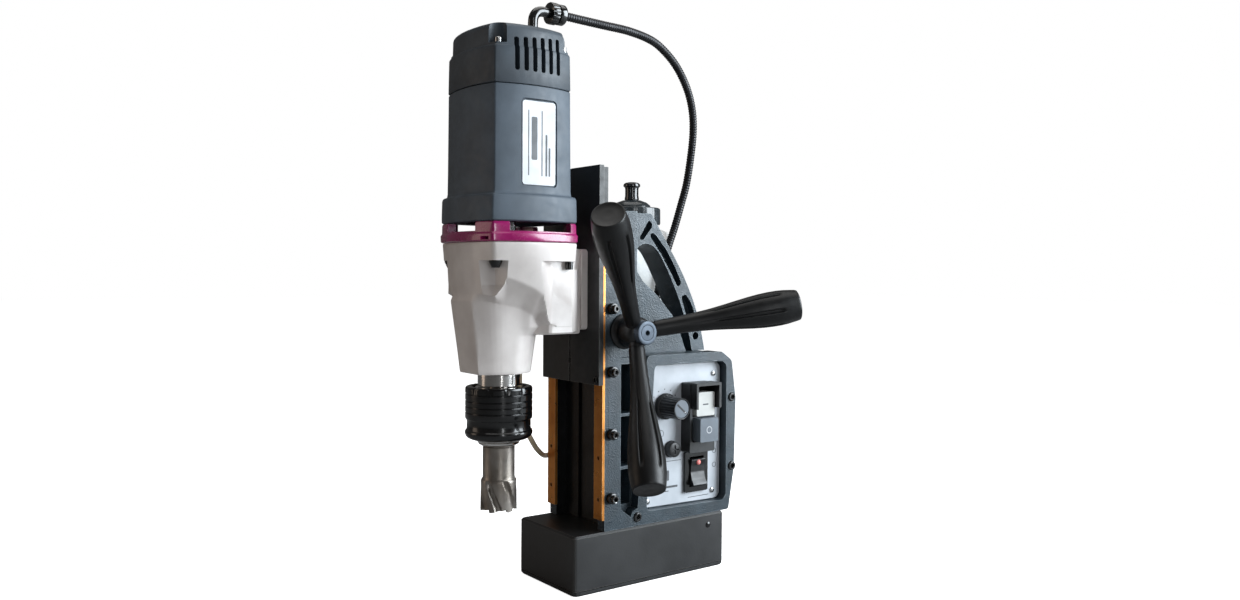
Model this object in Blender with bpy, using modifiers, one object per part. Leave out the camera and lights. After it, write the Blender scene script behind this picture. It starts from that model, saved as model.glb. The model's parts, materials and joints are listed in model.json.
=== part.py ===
"""Magnetic drill press: magnet base, column, sliding head with motor, gearbox, spindle and
annular cutter, three-arm feed handle, control box, coolant tank and motor conduit."""

import math

import bmesh
import bpy
import numpy as np
from mathutils import Matrix, Vector

MM = 0.001
GAP = 0.3

# Driving dimensions, in millimetres. X is across, Y runs from the drill to the rear, Z is up.
BASE_W, BASE_L, BASE_H = 84.0, 160.0, 48.0
COL_X = 41.0
COL_FRONT, COL_TOP = -50.0, 311.6
BOX_TOP, BOX_X = 189.5, 24.0
SLIDE_FRONT, SLIDE_BOTTOM, SLIDE_TOP = -57.3, 168.5, 347.0
MOTOR_Y, SPINDLE_Y = -116.0, -125.5
GEARBOX_LOW, GEARBOX_TOP = 180.0, 282.7
RING_TOP, COLLAR_TOP, BODY_TOP, CAP_TOP = 298.3, 319.2, 402.5, 451.3
LAY_X, LAY_Y = 15.85, -100.03
FEED_Y, FEED_Z = -30.8, 211.7
SPOKE_X, SPOKE_TILT, SPOKE_LEN, SPOKE_PHASE = 55.8, 30.0, 139.0, 130.9
PLATE_X = 33.0
CUTTER_LOW, CHUCK_LOW, CHUCK_TOP = 68.6, 126.0, 169.0
GIB_SCREW_Y = -44.0
TANK_LOW, TANK_TOP = 205.0, 301.0
PINION_TEETH, PINION_MODULE = 14, 1.5
GEAR_MODULE = 1.5
MOTOR_TEETH, WHEEL_TEETH, LAY_TEETH, SPINDLE_TEETH = 6, 24, 8, 32

for old in list(bpy.data.objects):
    bpy.data.objects.remove(old, do_unlink=True)

press = bpy.data.collections.new("magnetic_drill_press")
cutters = bpy.data.collections.new("cutters")
cutters.hide_render = True
for group in (press, cutters):
    bpy.context.scene.collection.children.link(group)

COLOURS = {
    "black_steel": ((0.03, 0.03, 0.035), 0.6, 0.45),
    "casting": ((0.16, 0.19, 0.21), 0.2, 0.6),
    "brass": ((0.62, 0.38, 0.14), 1.0, 0.4),
    "copper": ((0.75, 0.35, 0.18), 1.0, 0.4),
    "steel": ((0.6, 0.61, 0.62), 1.0, 0.3),
    "aluminium": ((0.8, 0.81, 0.82), 1.0, 0.4),
    "plate": ((0.85, 0.86, 0.87), 0.3, 0.5),
    "plastic": ((0.03, 0.03, 0.032), 0.0, 0.5),
    "grey_plastic": ((0.10, 0.12, 0.14), 0.0, 0.6),
    "magenta": ((0.55, 0.05, 0.32), 0.0, 0.3),
    "cream": ((0.72, 0.68, 0.63), 0.0, 0.5),
    "white_plastic": ((0.85, 0.86, 0.84), 0.0, 0.4),
    "tank_plastic": ((0.85, 0.88, 0.88), 0.0, 0.3),
    "hose_plastic": ((0.72, 0.62, 0.5), 0.0, 0.5),
    "circuit": ((0.04, 0.22, 0.09), 0.0, 0.5),
}


def material(name):
    found = bpy.data.materials.get(name)
    if found:
        return found
    colour, metallic, roughness = COLOURS[name]
    made = bpy.data.materials.new(name)
    made.use_nodes = True
    shader = made.node_tree.nodes["Principled BSDF"]
    shader.inputs["Base Color"].default_value = (*colour, 1.0)
    shader.inputs["Metallic"].default_value = metallic
    shader.inputs["Roughness"].default_value = roughness
    return made


def place(name, data, finish, origin=None):
    """Links a new object. Points of the data are in the row frame; origin moves its pivot."""
    obj = bpy.data.objects.new(name, data)
    if finish is None:
        cutters.objects.link(obj)
        obj.hide_render = True
        obj.display_type = "WIRE"
    else:
        data.materials.append(material(finish))
        press.objects.link(obj)
    if origin is not None:
        pivot = Vector(origin) * MM
        data.transform(Matrix.Translation(-pivot))
        obj.location = pivot
    return obj


def from_bmesh(name, bm, finish, origin=None, smooth=False):
    bmesh.ops.recalc_face_normals(bm, faces=bm.faces)
    mesh = bpy.data.meshes.new(name)
    bm.to_mesh(mesh)
    bm.free()
    if smooth:
        mesh.shade_smooth()
        mesh.set_sharp_from_angle(angle=math.radians(35))
    return place(name, mesh, finish, origin)


def loft(name, rings, finish, origin=None, smooth=False):
    """Skins closed rings of equal length, given as points in millimetres, and caps both ends."""
    bm = bmesh.new()
    rows = [[bm.verts.new(Vector(p) * MM) for p in ring] for ring in rings]
    for low, high in zip(rows, rows[1:]):
        for i in range(len(low)):
            j = (i + 1) % len(low)
            bm.faces.new((low[i], low[j], high[j], high[i]))
    bm.faces.new(rows[0][::-1])
    bm.faces.new(rows[-1])
    return from_bmesh(name, bm, finish, origin, smooth)


def box(name, low, high, finish, origin=None):
    (x0, y0, z0), (x1, y1, z1) = low, high
    ring = [(x0, y0), (x1, y0), (x1, y1), (x0, y1)]
    return loft(name, [[(x, y, z) for x, y in ring] for z in (z0, z1)], finish, origin)


def prism(name, outline, axis, low, high, finish, origin=None):
    """Extrudes a flat outline along X (outline in Y, Z), Y (in X, Z) or Z (in X, Y)."""
    if axis == "X":
        rings = [[(a, y, z) for y, z in outline] for a in (low, high)]
    elif axis == "Y":
        rings = [[(x, a, z) for x, z in outline] for a in (low, high)]
    else:
        rings = [[(x, y, a) for x, y in outline] for a in (low, high)]
    return loft(name, rings, finish, origin)


def rounded(outline, radius, steps=3):
    """The outline with each corner replaced by an arc, where a radius or list of radii allows."""
    count = len(outline)
    radii = radius if isinstance(radius, (list, tuple)) else [radius] * count
    points = []
    for i, corner in enumerate(outline):
        here = Vector(corner)
        back = Vector(outline[i - 1]) - here
        ahead = Vector(outline[(i + 1) % count]) - here
        if radii[i] <= 0:
            points.append(tuple(here))
            continue
        half = back.angle(ahead) / 2
        reach = min(radii[i] / math.tan(half), 0.49 * back.length, 0.49 * ahead.length)
        start = here + back.normalized() * reach
        end = here + ahead.normalized() * reach
        for k in range(steps + 1):
            t = k / steps
            spot = start * (1 - t) ** 2 + here * 2 * t * (1 - t) + end * t * t
            points.append(tuple(spot))
    return points


def rectangle(a0, b0, a1, b1, radius=0.0, steps=3):
    outline = [(a0, b0), (a1, b0), (a1, b1), (a0, b1)]
    return rounded(outline, radius, steps) if radius else outline


def circle(a, b, radius, steps=20):
    turn = [2 * math.pi * k / steps for k in range(steps)]
    return [(a + radius * math.cos(t), b + radius * math.sin(t)) for t in turn]


def turned(name, profile, finish, centre, axis="Z", steps=20, loop=False):
    """A profile of (radius, height) points, outer side first from top to bottom, spun by Screw."""
    mesh = bpy.data.meshes.new(name)
    verts = [(r * MM, 0.0, h * MM) for r, h in profile]
    edges = [(i, i + 1) for i in range(len(verts) - 1)]
    if loop:
        edges.append((len(verts) - 1, 0))
    mesh.from_pydata(verts, edges, [])
    obj = place(name, mesh, finish)
    obj.location = Vector(centre) * MM
    if axis == "X":
        obj.rotation_euler = (0.0, math.pi / 2, 0.0)
    spin = obj.modifiers.new("turned", "SCREW")
    spin.axis = "Z"
    spin.steps = spin.render_steps = steps
    spin.use_merge_vertices = True
    spin.merge_threshold = 0.00001
    spin.use_smooth_shade = True
    return obj


def ring_part(name, outer, inner, low, high, finish, centre, axis="Z", steps=24):
    """A plain ring or bush: a rectangular profile around the axis."""
    profile = [(outer, high), (outer, low), (inner, low), (inner, high)]
    return turned(name, profile, finish, centre, axis, steps, loop=True)


def spun(name, loops, finish, centre, frame=None, origin=None):
    """Joins closed (radius, height) loops, one for each equal step of angle, into a ring solid."""
    bm = bmesh.new()
    turn = frame if frame is not None else Matrix.Identity(3)
    middle = Vector(centre)
    rows = []
    for k, profile in enumerate(loops):
        a = 2 * math.pi * k / len(loops)
        spots = [Vector((r * math.cos(a), r * math.sin(a), h)) for r, h in profile]
        rows.append([bm.verts.new((middle + turn @ s) * MM) for s in spots])
    count = len(rows[0])
    for k in range(len(rows)):
        here, there = rows[k], rows[(k + 1) % len(rows)]
        for i in range(count):
            j = (i + 1) % count
            bm.faces.new((here[i], there[i], there[j], here[j]))
    return from_bmesh(name, bm, finish, origin, smooth=True)


def tube(name, points, radius, finish, resolution=3):
    curve = bpy.data.curves.new(name, "CURVE")
    curve.dimensions = "3D"
    curve.bevel_depth = radius * MM
    curve.bevel_resolution = resolution
    curve.use_fill_caps = True
    line = curve.splines.new("POLY")
    line.points.add(len(points) - 1)
    for spot, point in zip(line.points, points):
        spot.co = (*(Vector(point) * MM), 1.0)
    return place(name, curve, finish)


def smooth_path(points, per_span=6):
    """A Catmull-Rom path through the given points."""
    pts = [np.array(p, float) for p in points]
    pts = [2 * pts[0] - pts[1], *pts, 2 * pts[-1] - pts[-2]]
    path = []
    for a, b, c, d in zip(pts, pts[1:], pts[2:], pts[3:]):
        for k in range(per_span):
            t = k / per_span
            bend = (-a + 3 * b - 3 * c + d) * t**3 + (2 * a - 5 * b + 4 * c - d) * t**2
            path.append(0.5 * (bend + (c - a) * t + 2 * b))
    path.append(pts[-2])
    return [tuple(p) for p in path]


def boolean(target, cutter, operation="DIFFERENCE"):
    change = target.modifiers.new(cutter.name, "BOOLEAN")
    change.operation = operation
    change.solver = "EXACT"
    change.object = cutter


def cut(target, *tools):
    for tool in tools:
        boolean(target, tool)


def join(target, *tools):
    for tool in tools:
        boolean(target, tool, "UNION")


def bore(name, axis, spot, radius, low, high, steps=16):
    """A round cutter along an axis, through spot in the other two coordinates."""
    return prism(name, circle(*spot, radius, steps), axis, low, high, None)


def lobed(cx, front, back, bulge, centre, z, per_side=6):
    """A four-cornered ring with bulging sides around (0, centre), starting at the rear right."""
    corners = [(cx, back), (-cx, back), (-cx, -front), (cx, -front)]
    ring = []
    for (ax, ay), (bx, by) in zip(corners, corners[1:] + corners[:1]):
        out = Vector((by - ay, ax - bx)).normalized()
        for k in range(per_side):
            t = k / per_side
            swell = bulge * 4 * t * (1 - t)
            x, y = ax + (bx - ax) * t, ay + (by - ay) * t
            ring.append((x + out.x * swell, centre + y + out.y * swell, z))
    return ring


def around(outline, z, centre, steps=32):
    """Resamples a convex outline at equal angles around a centre, so that rings can be lofted."""
    ring = []
    ox, oy = centre
    count = len(outline)
    for k in range(steps):
        a = 2 * math.pi * (k + 0.5) / steps
        dx, dy = math.cos(a), math.sin(a)
        best = 0.0
        for i in range(count):
            ax, ay = outline[i][0] - ox, outline[i][1] - oy
            ex = outline[(i + 1) % count][0] - outline[i][0]
            ey = outline[(i + 1) % count][1] - outline[i][1]
            den = dx * ey - dy * ex
            if abs(den) < 1e-9:
                continue
            r = (ax * ey - ay * ex) / den
            s = (ax * dy - ay * dx) / den
            if r > 0 and -1e-6 <= s <= 1 + 1e-6:
                best = max(best, r)
        ring.append((ox + dx * best, oy + dy * best, z))
    return ring


def toothed(teeth, module, phase=0.0, thin=0.40):
    """The (radius, angle) points of a spur gear's edge; a tooth sits at angle phase, in radians."""
    pitch = module * teeth / 2
    tip, root = pitch + 0.85 * module, pitch - 1.2 * module
    step = 2 * math.pi / teeth
    edge = []
    for n in range(teeth):
        for off, r in ((-thin * 0.68, root), (-thin * 0.30, tip), (thin * 0.30, tip), (thin * 0.68, root)):
            edge.append((r, phase + (n + off) * step))
    return edge


def gear(name, axis, centre, low, high, finish, teeth, module, phase, origin=None):
    """A solid spur gear: a toothed outline extruded along its axis."""
    a, b = centre
    points = [(a + r * math.cos(t), b + r * math.sin(t)) for r, t in toothed(teeth, module, phase)]
    return prism(name, points, axis, low, high, finish, origin)


# ---------------------------------------------------------------- magnet base
half_w, half_l = BASE_W / 2, BASE_L / 2
rim = rectangle(-half_w - 0.8, -half_l - 0.8, half_w + 0.8, half_l + 0.8, 6.0)
slim = rectangle(-half_w + 0.4, -half_l + 0.4, half_w - 0.4, half_l - 0.4, 5.0)
pole_rings = [[(x, y, z) for x, y in o] for o, z in ((slim, 0.0), (rim, 1.4), (rim, 3.5))]
pole_plate = loft("pole_plate", pole_rings, "plastic")

body_low = 3.5 + GAP
outer = rectangle(-half_w, -half_l, half_w, half_l, 2.5, 3)
inner = rectangle(-half_w + 1.6, -half_l + 1.6, half_w - 1.6, half_l - 1.6, 1.6, 3)
body_rings = [(outer, body_low), (outer, BASE_H - 1.6), (inner, BASE_H)]
magnet_base = loft(
    "magnet_base", [[(x, y, z) for x, y in o] for o, z in body_rings], "black_steel"
)
slot = prism("coil_slot", rectangle(-33, -70, 33, 70, 14), "Z", -5, 34, None)
core = prism("pole_core", rectangle(-14, -51, 14, 51, 6), "Z", -10, 40, None)
cut(slot, core)
cut(magnet_base, slot)

coil = prism("magnet_coil", rectangle(-32.4, -69.4, 32.4, 69.4, 13.5), "Z", 5, 33, "copper")
cut(coil, prism("coil_hole", rectangle(-14.8, -51.8, 14.8, 51.8, 6.5), "Z", 0, 40, None))

# ---------------------------------------------------------------- column casting
front_body = [(COL_FRONT, BASE_H + GAP), (-12, BASE_H + GAP), (-12, 186)]
front_body += [(-4, 194), (-4, 236), (-11, 262), (-11, COL_TOP), (COL_FRONT, COL_TOP)]
column = prism("column_casting", front_body, "X", -32, 32, "casting")
ribs = prism(
    "column_ribs", rectangle(COL_FRONT, BASE_H + GAP, -34, COL_TOP), "X", -COL_X, COL_X, None
)
rear = [(-17, BASE_H + GAP), (87, BASE_H + GAP), (93.5, 85), (95, 148), (90, 182), (78, BOX_TOP)]
rear += [(-6.6, BOX_TOP)]
rear_box = prism("column_rear", rounded(rear, [3, 3, 30, 30, 6, 6, 3]), "X", -COL_X, BOX_X, None)
wall = [(-10, 180), (60, 180), (54, 189), (47, 206), (37.6, 222.9), (21, 239.9), (4.6, 252.7)]
wall += [(-3, 263), (-10, 270)]
side_wall = prism("column_wall", wall, "X", -20, 20, None)
for name, y0, y1 in (("foot_web_left", -36, -12), ("foot_web_right", -36, -12)):
    side = -1 if "left" in name else 1
    low_x, high_x = sorted((side * 30.0, side * COL_X))
    foot = prism(name, rounded([(y0, 46.5), (y1, 46.5), (y0, 64)], [0, 0, 0]), "X", low_x, high_x, None)
    foot.location.z = (BASE_H + GAP - 46.5) * MM
    join(column, foot)
join(column, ribs, rear_box, side_wall)
cut(column, box("side_recess", (17, -33.8, 66), (45, -17.4, 184.0), None))
for i, z in enumerate((98.0, 142.0)):
    join(column, box(f"recess_rib_{i}", (16, -35, z - 1.2), (38, -13, z + 1.2), None))
join(column, box("recess_rib_2", (30, -35, 184.5), (COL_X, -13, 189.5), None))
cover_outline = [(-16.8, BASE_H + GAP), (87, BASE_H + GAP), (93.5, 85), (95, 148), (90, 182)]
cover_outline += [(78, BOX_TOP + 0.8), (-6.6, BOX_TOP + 0.8)]
cover_edge = rounded(cover_outline, [3, 3, 30, 30, 6, 6, 5])
seat_edge = [(38 + (y - 38) * 1.009, 118 + (z - 118) * 1.009) for y, z in cover_edge]
cut(
    column,
    prism("cover_seat", seat_edge, "X", BOX_X, 60, None),
    bore("cover_lobe_seat", "X", (-16.2, 55.6), 7.5, BOX_X, 60),
    prism("slide_channel", rectangle(-31, -60, 31, -40), "Z", 40, 330, None),
    prism("rack_channel", rectangle(-12, -60, 12, -37.5), "Z", 40, 330, None),
    bore("pinion_pocket", "X", (FEED_Y, FEED_Z), 13.2, -9.0, 9.0),
    bore("feed_bore", "X", (FEED_Y, FEED_Z), 7.3, -60, 60),
    box("control_room", (-36, -4, 57), (40, 82, 180), None),
)
cut(column, bore("conduit_entry", "Z", (-24.8, 52), 4.2, 150, 200))
for i, z in enumerate((230.5, 178.8, 127.8, 75.2)):
    cut(column, bore(f"gib_screw_hole_{i}", "X", (GIB_SCREW_Y, z), 2.4, 25, 60, 16))
    ring = turned(
        f"gib_screw_{i + 1}",
        [(0, 47.2), (2.0, 47.2), (2.1, 45.0), (3.4, 44.8), (3.9, 44.2), (3.9, COL_X + GAP)]
        + [(2.1, COL_X + GAP), (2.1, 31.6), (0, 31.6)],
        "steel",
        (0, GIB_SCREW_Y, z),
        "X",
        12,
    )
for i, spot in enumerate(((-16.2, 55.6), (90.0, 149.1), (90.4, 87.1))):
    cut(column, bore(f"cover_screw_hole_{i}", "X", spot, 2.4, 8, 45, 16))

for side, name in ((-1, "brass_gib_left"), (1, "brass_gib_right")):
    x0, x1 = sorted((side * 29.2, side * COL_X))
    gib = box(name, (x0, -52.7, 57.5), (x1, COL_FRONT - GAP, COL_TOP - 1), "brass")
    for k, z in enumerate((74, 108, 240, 300)):
        cut(gib, bore(f"{name}_hole_{k}", "Y", (side * 35.5, z), 1.6, -60, -40, 16))

# ---------------------------------------------------------------- carrying handle
arch = [(-10.7, COL_TOP), (19.0, COL_TOP), (27.3, 300.5), (36.8, 286.4), (46.5, 273), (56.2, 258), (64.3, 243)]
arch += [(71.3, 228), (77, 210.5), (81, 194), (81.8, BOX_TOP + GAP), (66.8, BOX_TOP + GAP), (64.5, 200.9)]
arch += [(58.4, 219.2), (52.4, 234.3), (44.5, 250.7), (36.2, 265.5), (27.1, 279), (19.6, 284.6), (12.1, 286)]
arch += [(5, 283), (-3, 274.4), (-10.7, 272)]
corner_r = [0, 1.5] + [200] * 7 + [0, 0, 0] + [200] * 10 + [0]
arch_y = [(y, z) for y, z in rounded(arch, corner_r, 3)]
handle = prism("carry_handle", arch_y, "X", -13, 13, "casting")
pockets = [
    [(19.5, 295.7), (24.6, 293.0), (36.8, 280.0), (46.3, 265.6), (54.2, 250.9), (49.6, 247.0), (42.7, 258.1),
     (31.0, 275.4), (21.4, 287.3), (17.5, 292.0)],
    [(53.6, 238.9), (59.2, 240.9), (65.0, 234.0), (69.0, 226.2), (68.4, 218.0), (60.8, 218.0)],
    [(16.6, 306.6), (20.2, 303.0), (19.6, 299.4), (10.6, 288.8), (6.8, 288.4), (6.4, 291.2)],
]
for i, pocket in enumerate(pockets):
    for side in (-1, 1):
        x0, x1 = sorted((side * 5.0, side * 20.0))
        cut(handle, prism(f"handle_pocket_{i}_{side}", rounded(pocket, 2.0, 2), "X", x0, x1, None))
for side in (-1, 1):
    x0, x1 = sorted((side * 5.0, side * 20.0))
    cut(handle, bore(f"handle_hole_{side}", "X", (71.0, 203.0), 3.6, x0, x1, 20))

# ---------------------------------------------------------------- control box
housing = prism("control_housing", cover_edge, "X", BOX_X + GAP, COL_X, "casting")
recess = [(-6.5, 59), (80, 57.5), (83.8, 62), (83.8, 178), (79, 182), (1.5, 182)]
window = [(1.0, 66), (75, 64.5), (78, 68), (78, 172), (75, 175.5), (7.0, 175.5)]
lobe = bore("cover_lobe", "X", (-16.2, 55.6), 7.0, BOX_X + GAP, COL_X, 32)
join(housing, lobe)
cut(
    housing,
    prism("plate_recess", rounded(recess, 5.0), "X", PLATE_X - 1.8, 60, None),
    prism("plate_window", rounded(window, 3.0), "X", 10, 60, None),
    box("cable_slot", (10, 40, 40), (34, 62, BASE_H + 2.2), None),
)
for i, spot in enumerate(((-16.2, 55.6), (90.0, 149.1), (90.4, 87.1))):
    cut(housing, bore(f"cover_bore_{i}", "X", spot, 2.5, 10, 60, 16))
    cut(housing, bore(f"cover_counterbore_{i}", "X", spot, 4.4, 37.6, 60, 24))
    turned(
        f"cover_screw_{i + 1}",
        [(0, 40.0), (1.6, 40.0), (1.6, 41.8), (3.9, 41.8), (3.9, 37.9), (2.1, 37.9), (2.1, 14), (0, 14)],
        "plastic",
        (0, *spot),
        "X",
        12,
    )
plate_edge = [(-5.4, 60.0), (79.6, 58.4), (82.8, 62.5), (82.8, 176.6), (78.6, 180.6), (2.0, 180.6)]
plate_in, plate_out = PLATE_X - 1.5, PLATE_X
panel = prism("control_panel", rounded(plate_edge, 4.4), "X", plate_in, plate_out, "plate")
KNOB, FUSE = (18.9, 145.1), (25.6, 107.5)
SWITCH, ROCKER = (37.5, 104.0, 66.0, 164.5), (40.5, 67.5, 66.5, 103.0)
cut(
    panel,
    bore("knob_hole", "X", KNOB, 3.4, 20, 50),
    bore("fuse_hole", "X", FUSE, 5.6, 20, 50),
    prism("switch_hole", rectangle(SWITCH[0] + 3, 107, SWITCH[2] - 3, 161), "X", 20, 50, None),
    prism("rocker_hole", rectangle(43, 69.8, 64, 100.8), "X", 20, 50, None),
)
board = box("circuit_board", (-8, 6, 70), (-6.2, 76, 172), "circuit")
for k, (y, z, h, r) in enumerate(((20, 90, 14, 6), (58, 92, 12, 5), (24, 150, 9, 4), (60, 150, 16, 7))):
    join(board, bore(f"board_part_{k}", "X", (y, z), r, -7, -6.2 + h, 20))

# Start and stop switch: a base box with a hood around the upper button.
y0, z0, y1, z1 = SWITCH
base_low = PLATE_X + GAP
switch = prism("switch_base", rectangle(y0, z0, y1, z1, 1.2), "X", base_low, base_low + 12, "plastic")
tail = box("switch_tail", (12, y0 + 3.4, 107.4), (base_low + 1, y1 - 3.4, 160.6), None)
hood = prism("switch_hood", rectangle(y0 + 0.6, 142.5, y1 + 0.6, z1 + 0.4, 1.0), "X", 40, base_low + 20, None)
join(switch, tail, hood)
cut(
    switch,
    box("hood_opening", (base_low + 1.2, y0 + 2.8, 135.3), (70, y1 - 1.8, z1 - 2.0), None),
    box("stop_opening", (base_low + 1.2, y0 + 2.8, 113.4), (70, y1 - 1.8, 134.7), None),
)
start = prism(
    "start_button", rectangle(y0 + 5, 135.9, y1 - 3, 156.5, 1.5), "X", base_low + 4.6, base_low + 15, "white_plastic"
)
stop_key = prism(
    "stop_button", rectangle(y0 + 5, 113.9, y1 - 3, 134.2, 1.5), "X", base_low + 4.6, base_low + 20, "grey_plastic"
)

# Rocker switch for the magnet, turning about a pin across its frame.
ry0, rz0, ry1, rz1 = ROCKER
rocker_frame = prism("rocker_frame", rectangle(ry0, rz0, ry1, rz1, 1.5), "X", base_low, base_low + 2.6, "plastic")
rocker_tail = box("rocker_tail", (18, 43.4, 70.2), (base_low + 1, 63.6, 100.4), None)
join(rocker_frame, rocker_tail)
cut(rocker_frame, box("rocker_room", (21, 45.2, 72.0), (60, 61.8, 98.6), None))
ROCKER_PIN = (30.5, 85.3)
face = [(-4.5, -9.0), (4.0, -11.2), (12.0, -12.0), (8.0, -6.0), (6.6, 0.0), (7.0, 6.0), (8.6, 11.2)]
face += [(4.0, 11.4), (-4.5, 9.0)]
face_yz = [(ROCKER_PIN[0] + x, ROCKER_PIN[1] + z) for x, z in rounded(face, [2, 1, 1.5, 6, 6, 6, 1, 1, 2], 3)]
magnet_rocker = loft(
    "magnet_rocker",
    [[(x, y, z) for x, z in face_yz] for y in (61.2, 45.8)],
    "plastic",
    (ROCKER_PIN[0], 53.5, ROCKER_PIN[1]),
)

# Speed knob with a skirt and shallow flutes; its spindle runs through the panel.
knob_loops = []
for k in range(24):
    dip = 0.5 if k % 3 == 0 else 0.0
    knob_loops.append(
        [(0.6, base_low + 22.4), (8.4, base_low + 23.4), (9.1 - dip, base_low + 22.6)]
        + [(9.5 - dip, base_low + 4.0), (11.3, base_low + 3.2), (11.5, base_low + 0.4)]
        + [(3.0, base_low + 0.2), (3.0, base_low - 10), (0.6, base_low - 10)]
    )
TO_X = Matrix.Rotation(math.pi / 2, 3, "Y")
speed_knob = spun("speed_knob", knob_loops, "plastic", (0, *KNOB), TO_X, (base_low, *KNOB))
turned(
    "fuse_cap",
    [(0, base_low + 3.6), (1.2, base_low + 3.6), (1.2, base_low + 6.4), (6.2, base_low + 6.4)]
    + [(6.9, base_low + 5.6), (6.9, base_low + 0.2), (5.2, base_low + 0.1), (5.2, base_low - 16), (0, base_low - 16)],
    "plastic",
    (0, *FUSE),
    "X",
    20,
)

# ---------------------------------------------------------------- feed drive
pitch = PINION_MODULE * PINION_TEETH / 2
feed_at = (0, FEED_Y, FEED_Z)
pinion = gear(
    "feed_pinion_shaft", "X", (FEED_Y, FEED_Z), -7.6, 7.6, "steel", PINION_TEETH, PINION_MODULE, math.pi, feed_at
)
axle_rings = [
    [(x, FEED_Y + y, FEED_Z + z) for y, z in circle(0, 0, r)] for x, r in ((-40.0, 7.0), (42.0, 7.0), (63.0, 6.0))
]
join(pinion, loft("feed_axle", axle_rings, None))

hub_profile = [(0, 65.8), (9.6, 65.8), (11.4, 64.0), (12.6, 60.0), (12.8, 52.0), (11.6, 48.0)]
hub_profile += [(12.6, 44.5), (14.6, 42.6), (14.6, COL_X + 0.4), (0, COL_X + 0.4)]
hub = turned("feed_hub", hub_profile, "plastic", feed_at, "X", 24)
disc = turned(
    "hub_end_disc",
    [(0, 68.5), (1.8, 68.5), (1.8, 72.0), (9.2, 72.0), (9.7, 71.5), (9.7, 66.1), (0, 66.1)],
    "aluminium",
    feed_at,
    "X",
)
tilt = math.radians(SPOKE_TILT)
grip_shape = [(0.0, 6.7), (22, 7.2), (44, 8.6), (62, 10.8), (80, 13.2), (97, 14.5)]
grip_shape += [(109, 14.3), (118, 12.6), (122.0, 9.6)]
for k in range(3):
    a = math.radians(SPOKE_PHASE - 120 * k)
    out = Vector((math.sin(tilt), math.cos(tilt) * math.cos(a), math.cos(tilt) * math.sin(a)))
    side = out.cross(Vector((1, 0, 0))).normalized()
    frame = Matrix((side, out.cross(side), out)).transposed()
    start_at = Vector((SPOKE_X, FEED_Y, FEED_Z))
    rod_ends = ((3.4, 8.4), (3.4, 84.0), (2.8, 85.0))
    rod_rings = [
        [start_at + frame @ Vector((x, y, h)) for x, y in circle(0, 0, r, 12)] for r, h in rod_ends
    ]
    join(hub, loft(f"feed_rod_{k}", rod_rings, None))
    loops = []
    for n in range(21):
        profile = []
        for s, r in grip_shape:
            groove = 1.3 if 60 < s < 105 and n % 7 == 0 else 0.0
            profile.append((r - groove, s + 16.6))
        profile += [(2.0, 16.6 + 121.6), (2.0, 103.6), (3.7, 103.6), (3.7, 16.6)]
        loops.append(profile)
    spun(f"feed_grip_{k + 1}", loops, "plastic", start_at, frame, feed_at)
cut(hub, bore("hub_bore", "X", (FEED_Y, FEED_Z), 7.4, 30, 63.4))

# ---------------------------------------------------------------- slide
slide = box("slide_block", (-42.3, SLIDE_FRONT, SLIDE_BOTTOM), (42.3, -53.0, SLIDE_TOP), "black_steel")
neck = box("slide_neck", (-28.6, -54, SLIDE_BOTTOM), (28.6, -49.5, SLIDE_TOP), None)
tongue = box("slide_tongue", (-30.6, -49.9, SLIDE_BOTTOM), (30.6, -40.4, SLIDE_TOP), None)
join(slide, neck, tongue)
cut(
    slide,
    box("rack_seat", (-8.4, -48.2, 100), (8.4, -30, 400), None),
    prism("slide_groove", [(-1.4, -60), (1.4, -60), (1.4, -56.4), (-1.4, -56.4)], "Z", 100, 400, None),
    bore("slide_hole", "Y", (0, 186.0), 2.6, -70, -56.0, 20),
)
rack_pitch = math.pi * PINION_MODULE
rack_line = FEED_Y - pitch
rack_low, rack_high = SLIDE_BOTTOM + 0.5, SLIDE_TOP - 0.5
teeth_edge = []
first = math.floor((rack_low - FEED_Z) / rack_pitch) - 1
last = math.ceil((rack_high - FEED_Z) / rack_pitch) + 1
tip_y, root_y = rack_line + 0.85 * PINION_MODULE, rack_line - 1.15 * PINION_MODULE
for n in range(first, last):
    mid = FEED_Z + (n + 0.5) * rack_pitch
    for off, y in ((-0.272, root_y), (-0.12, tip_y), (0.12, tip_y), (0.272, root_y)):
        z = mid + off * rack_pitch
        if rack_low < z < rack_high:
            teeth_edge.append((y, z))
rack_outline = [(-47.9, rack_low), (root_y, rack_low), *teeth_edge, (root_y, rack_high), (-47.9, rack_high)]
rack = prism("feed_rack", rack_outline, "X", -8.0, 8.0, "steel")

# ---------------------------------------------------------------- gearbox
CENTRE = (0.0, -122.0)


def plan(cx, front, back, bulge):
    return [(x, y) for x, y, _ in lobed(cx, front, back, bulge, MOTOR_Y, 0)]


def nose(width, tip, front_half, back):
    half = [(front_half, tip), (width - 3.5, tip + 13.5), (width, -128), (width - 2, back - 11), (width - 11, back)]
    outline = half + [(-x, y) for x, y in half[::-1]]
    return rounded(outline, 4.0, 2)


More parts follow.
